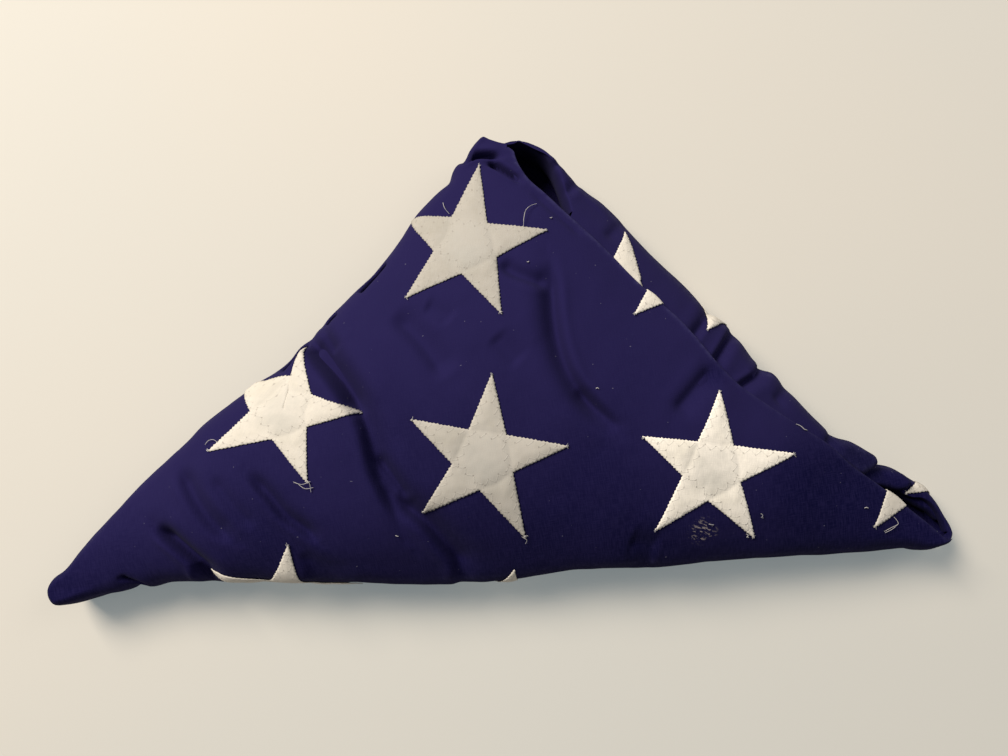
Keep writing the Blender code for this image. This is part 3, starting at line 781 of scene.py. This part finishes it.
def tip_end(name):
    """The end of one deeper turn at the right tip: (parts, wrap)."""
    drop, rows, hidden = DEEPER_ENDS[name]
    height = band_height(drop * MM, (), END_SEED + drop)
    rims = [rim_sections(rows, height, drop, END_ROUGH, END_STEP)]
    if hidden:
        ring = np.vstack((rims[0][0], smooth_path(hidden, END_EDGE_STEP)))
    else:
        rims.insert(0, rim_sections(TIP_RIM, height, **TIP_FOLD))
        ring = np.vstack((rims[0][0], rims[1][0]))
    parts = [panel(ring, END_PANEL_STEP, height), *(strip_mesh(*rim) for rim in rims)]
    return parts, {"ring": ring, "height": height, "sections": rims}


# ---------------------------------------------------------------- the rest of the roll


def roll_place(index):
    """(level from the back, turns that lie outside it) of a layer of the roll."""
    turn, upper = divmod(index, 2)
    level = ROLL_MIDDLE + 1 + turn if upper else ROLL_MIDDLE - turn
    return level, ROLL_MIDDLE - turn - upper


def roll_height(index):
    """The height function of a hidden layer: the layers share the room under the front."""
    level, _ = roll_place(index)

    def height(points):
        top, crown = dome(points)
        under = top - ROLL_ROOM[0] - ROLL_ROOM[1] * crown
        return BACK_HEIGHT + (under - BACK_HEIGHT) * level / ROLL_LEVELS

    return height


def roll_joins(index):
    """The sides at which a layer of the roll joins its neighbours: {side: neighbour}."""
    legs = ("left", "right") if index // 2 % 2 == 0 else ("right", "left")
    joins = {"long": index - 1, legs[0]: index + 1} if index % 2 else {"long": index + 1, legs[1]: index - 1}
    return {side: other for side, other in joins.items() if 0 <= other <= ROLL_LAYERS}


def roll_side(index, side, joined):
    """(points along one side of a hidden layer, its outward direction, its fold's bulge)."""
    first, last, bulge, cuts, hollow = ROLL_SIDES[side]
    _, turns = roll_place(index)
    length = np.linalg.norm(last - first)
    along = (last - first) / length
    out = np.array((along[1], -along[0]))
    start, end = (cut + TURN_CUT * max(turns - 1, 0) for cut in cuts)
    share = np.linspace(start / length, 1.0 - end / length, ROLL_POINTS)
    nearest = np.minimum(share, 1.0 - share) * length
    stand = bulge * (BULGE_END + BULGE_GROWTH * (1.0 - np.exp(-nearest / BULGE_REACH)))
    inset = TURN_INSET * turns + FOLD_GAP + (stand if joined else OPEN_INSET)
    dip = hollow * np.sin(math.pi * share)
    return first + along * (share * length)[:, None] - out * (inset + dip)[:, None], out, stand


def make_inner_roll(ends):
    """The inner turns of the strip, plainly finished, and the ends of those that show at the right tip."""
    parts = list(ends)
    for index in range(ROLL_LAYERS):
        joins = roll_joins(index)
        ring = np.vstack([roll_side(index, side, side in joins)[0] for side in ROLL_SIDES])
        layer = panel(ring, ROLL_STEP, roll_height(index))
        parts.append(layer if index % 2 else turned_over(layer))
        for side, other in joins.items():
            if index < other < ROLL_LAYERS:
                lower, upper = sorted((index, other), key=lambda turn: roll_place(turn)[0])
                parts.append(roll_fold(side, upper, lower))
    return weld("inner_roll", parts)


def roll_fold(side, upper, lower):
    """One fold between two hidden layers."""
    top, out, stand = roll_side(upper, side, True)
    foot, _, _ = roll_side(lower, side, True)
    share = (roll_place(upper)[0] - roll_place(lower)[0]) / (ROLL_LEVELS + 1)
    outs = np.repeat(out[None, :], len(top), axis=0)
    low = roll_height(lower)(foot)
    grid, run = fold_sections(top, outs, np.maximum(stand * share, BULGE_LEAST), low, roll_height(upper))
    blend = np.linspace(0.0, 1.0, grid.shape[1])[None, :, None]
    grid[:, :, :2] += (foot - top)[:, None, :] * blend
    return strip_mesh(top, outs, grid, run)


# ---------------------------------------------------------------- stars


def star_outline(rng):
    """A star about the origin, its first tip along +Y, with the small teeth of its sewn edge."""
    reaches = (STAR_RADIUS, STAR_RADIUS * CORNER_SHARE)
    corners = [toward(90.0 + 36.0 * k) * reaches[k % 2] for k in range(10)]
    ring = []
    for a, b in zip(corners, corners[1:] + corners[:1]):
        count = 2 * round(np.linalg.norm(b - a) / TOOTH_PITCH)
        out = np.array((b[1] - a[1], a[0] - b[0])) / np.linalg.norm(b - a)
        for i in range(count):
            tooth = TOOTH_HEIGHT * (1 if i % 2 else GAP_BETWEEN_TEETH) * rng.uniform(*TOOTH_SPREAD)
            ring.append(a + (b - a) * (i + rng.uniform(-TOOTH_SHIFT, TOOTH_SHIFT)) / count + out * tooth)
    return np.array(ring)


def seam_depth(points):
    """Distance of points of a star from the nearest of its five tip-to-tip seams."""
    return np.min([np.abs(points @ toward(90.0 + 72.0 * i) - SEAM_REACH) for i in range(5)], axis=0)


def pulled(points, tips, corners):
    """Moves a star's tips and inner corners by their pulls, and the cloth between them evenly."""
    tips, corners = np.array(tips) * MM, np.array(corners) * MM
    arm = (np.degrees(np.arctan2(points[:, 1], points[:, 0])) - 90.0) % 360.0 / 72.0
    corner = np.floor(arm).astype(int) % 5
    tip = np.round(arm).astype(int) % 5
    to_tip = np.radians(90.0 + 72.0 * tip)
    to_corner = np.radians(126.0 + 72.0 * corner)
    apart = np.sin(to_corner - to_tip) * STAR_RADIUS
    at_tip = (points[:, 0] * np.sin(to_corner) - points[:, 1] * np.cos(to_corner)) / apart
    at_corner = (points[:, 1] * np.cos(to_tip) - points[:, 0] * np.sin(to_tip)) / (apart * CORNER_SHARE)
    return points + at_tip[:, None] * tips[tip] + at_corner[:, None] * corners[corner]


def on_cloth(points, wrap):
    """(places, whether each is on the cloth) of plan points, carried round the wrap's folds."""
    places = np.column_stack((points, wrap["height"](points)))
    on = inside(points, wrap["ring"])
    beyond = np.where(~on)[0]
    if not len(beyond):
        return places, on
    found = [path_field(points[beyond], section[0]) for section in wrap["sections"]]
    best = np.argmin([field[0] for field in found], axis=0)
    for k, i in enumerate(beyond):
        distance, _, _, where = (column[k] for column in found[best[k]])
        _, _, grid, run = wrap["sections"][best[k]]
        row = min(int(where), len(grid) - 2)
        part = where - row
        runs = run[row] * (1 - part) + run[row + 1] * part
        section = grid[row] * (1 - part) + grid[row + 1] * part
        beside = 0.0 < where < len(grid) - 1 or distance < BESIDE_REACH
        on[i] = beside and distance < runs[-1]
        places[i] = [np.interp(distance, runs, section[:, axis]) for axis in range(3)]
    return places, on


def spin(turn):
    """Turns a star's own places until its first tip points at an angle in degrees."""
    cos, sin = toward(turn - 90.0)
    return np.array(((cos, sin), (-sin, cos)))


def thicken(star, thickness, offset):
    solidify = star.modifiers.new("cloth", "SOLIDIFY")
    solidify.thickness = thickness
    solidify.offset = offset


def make_star(name, wrap, x, y, turn, seed):
    """One star on a wrap: its cloth follows the wrap's surface and has small teeth along its edge."""
    ring = star_outline(random.Random(seed))
    _, faces, local = panel(ring, STAR_STEP, lambda points: np.zeros(len(points)), STAR_MARGIN)
    turned = spin(turn)
    tips, corners = (np.array(table.get(name, NO_PULLS)) @ turned.T for table in (PULLS, CORNER_PULLS))
    places, on = on_cloth(pulled(local, tips, corners) @ turned + (x, y), wrap)
    on &= places[:, 2] > STAR_LOWEST
    if name in TUCKED:
        heading = np.degrees(np.arctan2(local[:, 1], local[:, 0])) - 90.0
        apart = np.abs((heading - 72.0 * TUCKED[name] + 180.0) % 360.0 - 180.0)
        along = np.linalg.norm(local, axis=1) * np.cos(np.radians(apart))
        on &= (apart > 36.0) | (along < ARM_START * STAR_RADIUS)
    star = weld(name, [(places, [face for face in faces if all(on[i] for i in face)], local)])
    raise_star(star)
    return star


def raise_star(star):
    """Lifts a star off the cloth, puffs it between its seams and gives it its thickness."""
    mesh = bmesh.new()
    mesh.from_mesh(star.data)
    bmesh.ops.delete(mesh, geom=[vert for vert in mesh.verts if not vert.link_faces], context="VERTS")
    uv = mesh.loops.layers.uv["cloth"]
    mesh.normal_update()
    verts = list(mesh.verts)
    local = np.array([tuple(vert.link_loops[0][uv].uv) for vert in verts])
    lift = STAR_LIFT + STAR_PUFF * (1.0 - np.exp(-seam_depth(local) / PUFF_REACH))
    lift += PUCKER * np.array([noise.noise(Vector((*(p / PUCKER_SCALE), PUCKER_SEED))) for p in local])
    moves = [vert.normal * height for vert, height in zip(verts, lift)]
    for vert, move in zip(verts, moves):
        vert.co += move
    mesh.to_mesh(star.data)
    mesh.free()
    thicken(star, STAR_THICK, 1.0)


def make_back_star(name, x, y, seed):
    """A plain star on the flat back."""
    ring = star_outline(random.Random(seed))
    points, faces, local = panel(ring, BACK_STAR_STEP, lambda points: np.full(len(points), BACK_STAR_HEIGHT))
    places = np.column_stack((local @ spin(BACK_STAR_TURN) + (x, y), points[:, 2]))
    star = weld(name, [(places, faces, local)])
    thicken(star, BACK_STAR_THICK, -1.0)
    return star


# ---------------------------------------------------------------- loose threads and lint


def make_threads(name, rows, wraps, thickness):
    """Loose threads as one mesh. Each row: the wrap it lies on, its path (x, y, height on the cloth), mm."""
    curve = bpy.data.curves.new(name, "CURVE")
    curve.dimensions = "3D"
    curve.bevel_depth = thickness / 2
    curve.bevel_resolution = 1
    for wrap, path in rows:
        path = smooth_path(path, THREAD_STEP)
        places, _ = on_cloth(path[:, :2], wraps[wrap])
        places[:, 2] += path[:, 2] + THREAD_LIFT
        spline = curve.splines.new("POLY")
        spline.points.add(len(places) - 1)
        for point, place in zip(spline.points, places):
            point.co = (*place, 1.0)
    source = bpy.data.objects.new(name, curve)
    data = bpy.data.meshes.new_from_object(source)
    bpy.data.objects.remove(source)
    bpy.data.curves.remove(curve)
    return linked(name, data)


def frayed_tips(rng, wraps):
    """Short threads at the stars' tips that lie on a face: rows for make_threads."""
    rows = []
    for name, _, wrap, x, y, turn, _ in STARS:
        for k in range(5):
            angle = turn + 72.0 * k
            tip = np.array((x, y)) / MM + toward(angle) * (STAR_RADIUS / MM - FRAY_START)
            tip = tip + np.array(PULLS.get(name, NO_PULLS)[k])
            if not inside(tip[None] * MM, wraps[wrap]["ring"])[0] or TUCKED.get(name) == k:
                continue
            for _ in range(FRAY_COUNT):
                heading = angle + math.degrees(rng.uniform(-FRAY_TURN, FRAY_TURN))
                end = tip + toward(heading) * rng.uniform(*FRAY_LENGTH)
                middle = (tip + end) / 2 + np.array([rng.uniform(-FRAY_BEND, FRAY_BEND) for _ in "xy"])
                low, high = FRAY_HEIGHTS
                rows.append((wrap, ((*tip, low), (*middle, high), (*end, rng.uniform(*FRAY_END_HEIGHT)))))
    return rows


def on_wraps(rows, wraps):
    """The rows whose whole path lies on the cloth."""
    return [(wrap, path) for wrap, path in rows if on_cloth(np.array(path)[:, :2] * MM, wraps[wrap])[1].all()]


# Loose threads on the outer wrap, and bits of lint on it as short curls: x, y and height above the cloth, mm.
LOOSE_THREADS = (
    ((-28.5, 94, 0.6), (-27.5, 90, 1.6), (-24.5, 85.5, 0.3)),
    ((19.5, 73.5, 0.4), (20, 79, 2.2), (21.5, 84, 2.6), (24.5, 87, 1.6), (28, 88.5, 0.8)),
    ((-172.5, -48, 0.4), (-170.5, -45.8, 1.2), (-167, -45.2, 1.4), (-163.5, -47.4, 0.4)),
    ((-117, -71, 0.3), (-112, -72.5, 1.2), (-107, -71, 0.6)),
    ((-114, -72.5, 0.4), (-110, -75, 1), (-105.5, -74.5, 0.3)),
    ((-110, -69, 0.3), (-107.5, -72, 1), (-107, -77, 0.4)),
    ((236.2, -105.6, 0.3), (237.6, -107.6, 1.2), (238.4, -109.2, 1.4), (234, -111.8, 1),
     (229.6, -114, 0.5)),
    ((230.2, -114.9, 0.4), (234.2, -112.9, 1.2), (238.2, -110.4, 0.8)),
    ((12, -107.5, 0.3), (15, -110, 1), (14, -112, 0.3)),
)
LINT = (
    ((175.5, -48, 0.3), (178.5, -49, 0.9), (181, -51.5, 0.4), (184, -51, 0.2)),
    ((151, -99.1, 0.2), (152.4, -100.4, 0.5), (151.3, -101.2, 0.5), (152.6, -101.8, 0.2)),
    ((143.6, -111.2, 0.2), (145, -112, 0.5), (143.8, -113, 0.5), (145.2, -113.4, 0.2)),
    ((120.4, -104, 0), (121.8, -104.4, 0.2), (123.3, -104.6, 0)),
    ((-60.5, -103.8, 0.1), (-59.7, -104.2, 0.4), (-59, -104.5, 0.1)),
    ((56.5, -24.2, 0.1), (57.3, -23.8, 0.3), (58, -24.3, 0.1)),
    ((20.6, 51.2, 0.1), (21.2, 50.8, 0.3), (21.6, 51.4, 0.1)),
    ((35.5, 79.3, 0.1), (36.3, 79, 0.3), (36.8, 79.6, 0.1)),
    ((216.5, -99.2, 0.1), (217.6, -98.8, 0.4), (219, -99.4, 0.1)),
)


# ---------------------------------------------------------------- materials


class Graph:
    """A material and its shader nodes. A node's input takes a number, a colour, a vector or a socket."""

    def __init__(self, name, roughness):
        self.material = bpy.data.materials.new(name)
        self.material.use_nodes = True
        self.tree = self.material.node_tree
        self.give(Roughness=roughness)

    def set_inputs(self, node, inputs):
        for key, value in inputs.items():
            if isinstance(value, bpy.types.NodeSocket):
                self.tree.links.new(value, node.inputs[key])
            else:
                node.inputs[key].default_value = value

    def give(self, **inputs):
        """Sets inputs of the material's shader. Their names have underscores for spaces."""
        shader = self.tree.nodes["Principled BSDF"]
        self.set_inputs(shader, {key.replace("_", " "): value for key, value in inputs.items()})

    def add(self, kind, inputs=None, **settings):
        """A new node with its settings and inputs."""
        node = self.tree.nodes.new("ShaderNode" + kind)
        for name, value in settings.items():
            setattr(node, name, value)
        self.set_inputs(node, inputs or {})
        return node.outputs

    def calc(self, operation, *values):
        return self.add("Math", dict(enumerate(values)), operation=operation)[0]

    def plus(self, *values):
        return self.calc("ADD", *values)

    def minus(self, *values):
        return self.calc("SUBTRACT", *values)

    def times(self, *values):
        return self.calc("MULTIPLY", *values)

    def vector(self, operation, *values):
        """A number from vectors."""
        return self.add("VectorMath", dict(enumerate(values)), operation=operation)["Value"]

    def graded(self, value, start, end, low=0.0, high=1.0):
        """A value mapped smoothly from one range to another."""
        inputs = dict(enumerate((value, start, end, low, high)))
        return self.add("MapRange", inputs, interpolation_type="SMOOTHSTEP")[0]

    def mixed(self, share, first, second):
        """Two colours mixed."""
        return self.add("Mix", {0: share, 6: first, 7: second}, data_type="RGBA")[2]

    def grain(self, place, scale, detail=2.0, rough=0.5):
        inputs = {"Vector": place, "Scale": scale, "Detail": detail, "Roughness": rough}
        return self.add("TexNoise", inputs)["Fac"]

    def stretched(self, place, scale, turn):
        """A place scaled by a factor along each axis, after a turn about Z in degrees."""
        turned = self.add("Mapping", {"Vector": place, "Rotation": (0.0, 0.0, math.radians(turn))})[0]
        return self.add("Mapping", {"Vector": turned, "Scale": scale})[0]

    def weave(self, place, pitch, turn):
        """Height of a plain weave: warp threads, crossed by fainter weft threads."""
        warp = self.grain(self.stretched(place, (1 / pitch, 0.09 / pitch, 1.0), turn), 1.0, 1.0)
        weft = self.grain(self.stretched(place, (0.10 / pitch, 1 / pitch, 1.0), turn), 1.0, 1.0)
        return self.plus(self.times(warp, 0.6), self.times(weft, 0.4))

    def solid_place(self):
        return self.add("TexCoord")["Object"]

    def painted(self, name):
        """A value that is stored with the mesh."""
        return self.add("Attribute", attribute_name=name)["Fac"]

    def finished(self, colour, relief, strength, distance):
        """The material with its colour and its relief."""
        normal = self.add("Bump", {"Strength": strength, "Distance": distance, "Height": relief})[0]
        self.give(Base_Color=colour, Normal=normal)
        return self.material


def cloth_graph(name):
    """(graph of a cotton cloth, place in the cloth)"""
    graph = Graph(name, 0.93)
    graph.give(Specular_IOR_Level=0.03, Sheen_Weight=0.01, Sheen_Roughness=0.55)
    return graph, graph.add("UVMap", uv_map="cloth")[0]


def navy_cotton():
    """Worn navy cotton: slubby weave, uneven fading, painted shade, paler wear on folded edges with a painted
    highlight on the free edge, specks of lint and scuffs.
    """
    g, place = cloth_graph("navy_cotton")
    solid = g.solid_place()
    weave = g.weave(place, 0.00060, -9.0)
    faded = g.grain(solid, 9.0, 4.0, 0.55)
    # Painted shade: darker towards the bottom of the flag and lighter towards its apex, added to the fading
    # noise
    fading_and_shade = g.plus(g.graded(g.vector("DOT_PRODUCT", solid, PAINTED_LIGHT_TOWARD), -0.17, 0.02), faded)
    # The stored spots: the paler ones are fading, the darker ones painted shade
    fading_and_shade = g.plus(fading_and_shade, g.painted("fade_and_shade"))
    colour = g.mixed(g.graded(fading_and_shade, 0.42, 1.55), NAVY_DEEP, NAVY_FADED_AND_LIT)
    colour = g.mixed(g.graded(weave, 0.36, 0.66, 0.0, 0.55), colour, NAVY_THREAD)
    # Paler where worn, and where a highlight is painted along the upper half of the front's free edge
    rubbed_and_highlit = g.times(g.painted("wear"), g.graded(g.grain(solid, 300.0, 3.0), 0.35, 0.65, 0.2, 0.8))
    colour = g.mixed(rubbed_and_highlit, colour, NAVY_WORN_AND_HIGHLIT)
    lint = g.graded(g.grain(solid, 520.0, 1.0, 0.4), 0.795, 0.83, 0.0, 0.45)
    colour = g.mixed(lint, colour, LINT_COLOUR)
    near = g.graded(g.vector("DISTANCE", solid, SCUFF_CENTRE), 0.0115, 0.004)
    marks = g.graded(g.grain(g.stretched(solid, (1.0, 2.2, 1.0), 25.0), 330.0, 3.0, 0.6), 0.54, 0.62)
    colour = g.mixed(g.times(g.times(near, marks), 0.5), colour, SCUFF_COLOUR)
    g.give(Roughness=g.graded(faded, 0.3, 0.7, 0.86, 0.98))
    relief = g.plus(weave, g.times(g.grain(solid, 900.0), 0.35))
    return g.finished(colour, relief, 0.45, 0.00028)


def seam_pattern(g, place):
    """(distance from the nearest needle hole, distance from the zigzag thread) of the five seams, metres."""
    holes, thread = 1.0, 1.0
    for i in range(5):
        x, y = toward(90.0 + 72.0 * i)
        across = g.vector("DOT_PRODUCT", place, (x, y, 0.0))
        run = g.vector("DOT_PRODUCT", place, (-y, x, 0.0))
        zigzag = g.times(g.calc("PINGPONG", run, SEAM_PITCH), -SEAM_WIDTH / SEAM_PITCH)
        off = g.calc("ABSOLUTE", g.minus(g.minus(across, SEAM_REACH - SEAM_INSET), zigzag))
        along = g.calc("PINGPONG", run, SEAM_PITCH / 2)
        hole = g.calc("SQRT", g.plus(g.calc("POWER", along, 2.0), g.calc("POWER", off, 2.0)))
        holes = g.calc("MINIMUM", holes, hole)
        thread = g.calc("MINIMUM", thread, off)
    return holes, thread


def cream_cotton(name, paleness_and_light):
    """Worn cream cotton of the stars: weave, a grey middle of navy showing through and painted shade, needle
    holes in zigzag rows, faint stains, and a paleness per star that is partly painted light.
    """
    g, place = cloth_graph(name)
    weave = g.weave(place, 0.00050, 0.0)
    stains = g.grain(place, 38.0, 4.0, 0.6)
    # Each star's cream is scaled by its paleness, which is partly painted light
    light, dull = ((*(min(1.0, part * paleness_and_light) for part in tone), 1.0) for tone in (CREAM_LIGHT, CREAM_DULL))
    colour = g.mixed(g.graded(stains, 0.40, 0.72), light, dull)
    # A grey middle: partly the navy showing through the cream, partly painted shade
    middle = g.graded(g.vector("LENGTH", place), 0.021, 0.006)
    colour = g.mixed(g.times(middle, g.graded(stains, 0.25, 0.75, 0.1, 0.45)), colour, STAR_GREY)
    colour = g.mixed(g.graded(weave, 0.35, 0.65, 0.0, 0.22), colour, STAR_GREY)
    holes, thread = seam_pattern(g, place)
    patchy = g.graded(g.grain(place, 300.0), 0.35, 0.60, 0.25, 1.0)
    dots = g.times(g.graded(holes, 0.00062, 0.00030), patchy)
    colour = g.mixed(g.times(dots, 0.50), colour, NEEDLE_HOLE)
    colour = g.mixed(g.graded(thread, 0.00045, 0.0002, 0.0, 0.13), colour, STAR_GREY)
    relief = g.plus(g.times(weave, 0.5), g.graded(thread, 0.0005, 0.0002, 0.0, 0.5))
    return g.finished(colour, g.minus(relief, dots), 0.5, 0.00030)


def thread_material():
    """Loose cotton thread: twisted strands, pale with a little dirt."""
    g = Graph("thread_cotton", 0.9)
    solid = g.solid_place()
    dirt = g.graded(g.grain(solid, 220.0), 0.35, 0.7)
    return g.finished(g.mixed(dirt, THREAD_LIGHT, THREAD_DULL), g.grain(solid, 2600.0, 1.0), 0.4, 0.0001)


def floor_material():
    """The plain pale floor."""
    g = Graph("pale_floor", 0.8)
    tone = g.graded(g.grain(g.solid_place(), 1.6), 0.3, 0.7)
    g.give(Base_Color=g.mixed(tone, FLOOR_LIGHT, FLOOR_DULL), Emission_Color=FLOOR_GLOW, Emission_Strength=1.0)
    return g.material


def store(obj, name, values):
    attribute = obj.data.attributes.new(name, "FLOAT", "POINT")
    attribute.data.foreach_set("value", values)


def paint_cloth(obj, wrap, wear, lines=()):
    """Stores how worn the cloth is, most along its fold and the given lines, and how its spots change it:
    paler where it faded, darker where shade is painted.
    """
    points = np.array([tuple(vert.co) for vert in obj.data.vertices])
    fade_and_shade = np.zeros(len(points))
    for x, y, radius, change in FADED_AND_SHADED_SPOTS:
        far = np.linalg.norm(points[:, :2] / MM - (x, y), axis=1) / radius
        fade_and_shade += change * np.exp(-(far**2))
    store(obj, "fade_and_shade", fade_and_shade)
    reach, every, column, fold_strength = wear
    fold = wrap["sections"][0][2][::every, column]
    worn_and_highlit = np.zeros(len(points))
    # The lines can carry a painted highlight as well as wear
    for line, strength in (*lines, (fold, fold_strength)):
        near = np.full(len(points), np.inf)
        for place in line:
            near = np.minimum(near, ((points - place) ** 2).sum(axis=1))
        worn_and_highlit = np.maximum(worn_and_highlit, strength * np.exp(-near / reach**2))
    store(obj, "wear", worn_and_highlit)


# ---------------------------------------------------------------- stage, light and camera


def make_floor():
    mesh = bmesh.new()
    bmesh.ops.create_grid(mesh, x_segments=8, y_segments=8, size=FLOOR_SIZE)
    floor = from_bmesh("floor", mesh)
    floor.data.materials.append(floor_material())
    return floor


def make_lights():
    for name, place, size, power, colour in LIGHTS:
        light = bpy.data.lights.new(name, "AREA")
        light.shape = "RECTANGLE"
        light.size, light.size_y = size
        light.energy = power
        light.color = colour
        obj = linked(name, light)
        obj.location = place
        obj.rotation_euler = (Vector(LIGHT_TARGET) - obj.location).to_track_quat("-Z", "Y").to_euler()
    world = bpy.data.worlds.new("studio")
    world.use_nodes = True
    background = world.node_tree.nodes["Background"]
    background.inputs["Color"].default_value = WORLD_COLOUR
    background.inputs["Strength"].default_value = WORLD_STRENGTH
    bpy.context.scene.world = world
    bpy.context.scene.view_settings.view_transform = "Standard"


def make_camera():
    """Camera that looks down at the flag, with a little tilt and a little turn about the vertical."""
    data = bpy.data.cameras.new("camera")
    data.lens = CAMERA_LENS
    data.sensor_width = CAMERA_SENSOR
    camera = linked("camera", data)
    tilt = math.radians(CAMERA_TILT)
    turn = Matrix.Rotation(math.radians(CAMERA_TURN), 4, "Z")
    move = Matrix.Translation(Vector(CAMERA_MOVE))
    height = FLAG_MIDDLE + CAMERA_REACH * math.cos(tilt)
    place = Matrix.Translation(Vector((0.0, -CAMERA_REACH * math.sin(tilt), height)))
    camera.matrix_world = move @ turn @ place @ Matrix.Rotation(tilt, 4, "X")
    bpy.context.scene.camera = camera


# ---------------------------------------------------------------- putting it together


def finish_piece(obj, material, slot, *nodes):
    """Gives a piece its material and its body, and hides the CAD nodes that it replaces, if any. The slot is
    not used.
    """
    obj.data.materials.append(material)
    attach(obj, "root")
    if nodes:
        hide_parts(*nodes)


def main():
    make_camera()
    make_lights()
    make_floor()
    outer, outer_wrap = make_outer_wrap()
    inner, inner_wrap = make_inner_wrap()
    ends = {name: tip_end(name) for name in DEEPER_ENDS}
    third_wrap = ends["third"][1]
    roll = make_inner_roll([part for parts, _ in ends.values() for part in parts])
    edge = np.column_stack((EDGE_PATH[:, :2], front_height(EDGE_PATH[:, :2])))
    # The front's free edge is worn along all of it and has a painted highlight along its upper half
    edge_wear_and_highlight = ((edge, EDGE_WEAR), (edge[len(edge) // 2 :], UPPER_EDGE_HIGHLIGHT))
    paint_cloth(outer, outer_wrap, OUTER_WEAR, edge_wear_and_highlight)
    paint_cloth(inner, inner_wrap, INNER_WEAR)
    paint_cloth(roll, third_wrap, ROLL_WEAR)
    navy = navy_cotton()
    for obj in (outer, inner, roll):
        finish_piece(obj, navy, "navy_cotton", "flag_cloth")
    wraps = {"outer": outer_wrap, "inner": inner_wrap, "third": third_wrap}
    carried = {"outer": [], "inner": [], "third": []}
    for seed, (name, node, wrap, x, y, turn, paleness_and_light) in enumerate(STARS, STAR_SEED):
        star = make_star(name, wraps[wrap], x, y, turn, seed)
        finish_piece(star, cream_cotton(f"cream_{name}", paleness_and_light), "cream_cotton", node)
        carried[wrap].append(star)
    for seed, (name, x, y) in enumerate(BACK_STARS, BACK_STAR_SEED):
        star = make_back_star(name, x, y, seed)
        finish_piece(star, cream_cotton(f"cream_{name}", BACK_STAR_PALENESS), "cream_cotton")
        carried["outer"].append(star)
    cotton_thread = thread_material()
    fray = on_wraps(frayed_tips(random.Random(FRAY_SEED), wraps), wraps)
    loose, lint = ([("outer", path) for path in paths] for paths in (LOOSE_THREADS, LINT))
    for name, rows in (("loose_threads", loose), ("frayed_tips", fray), ("lint", lint)):
        threads = make_threads(name, rows, wraps, THREAD_THICK[name])
        finish_piece(threads, cotton_thread, "cream_cotton")
        carried["outer"].append(threads)


main()
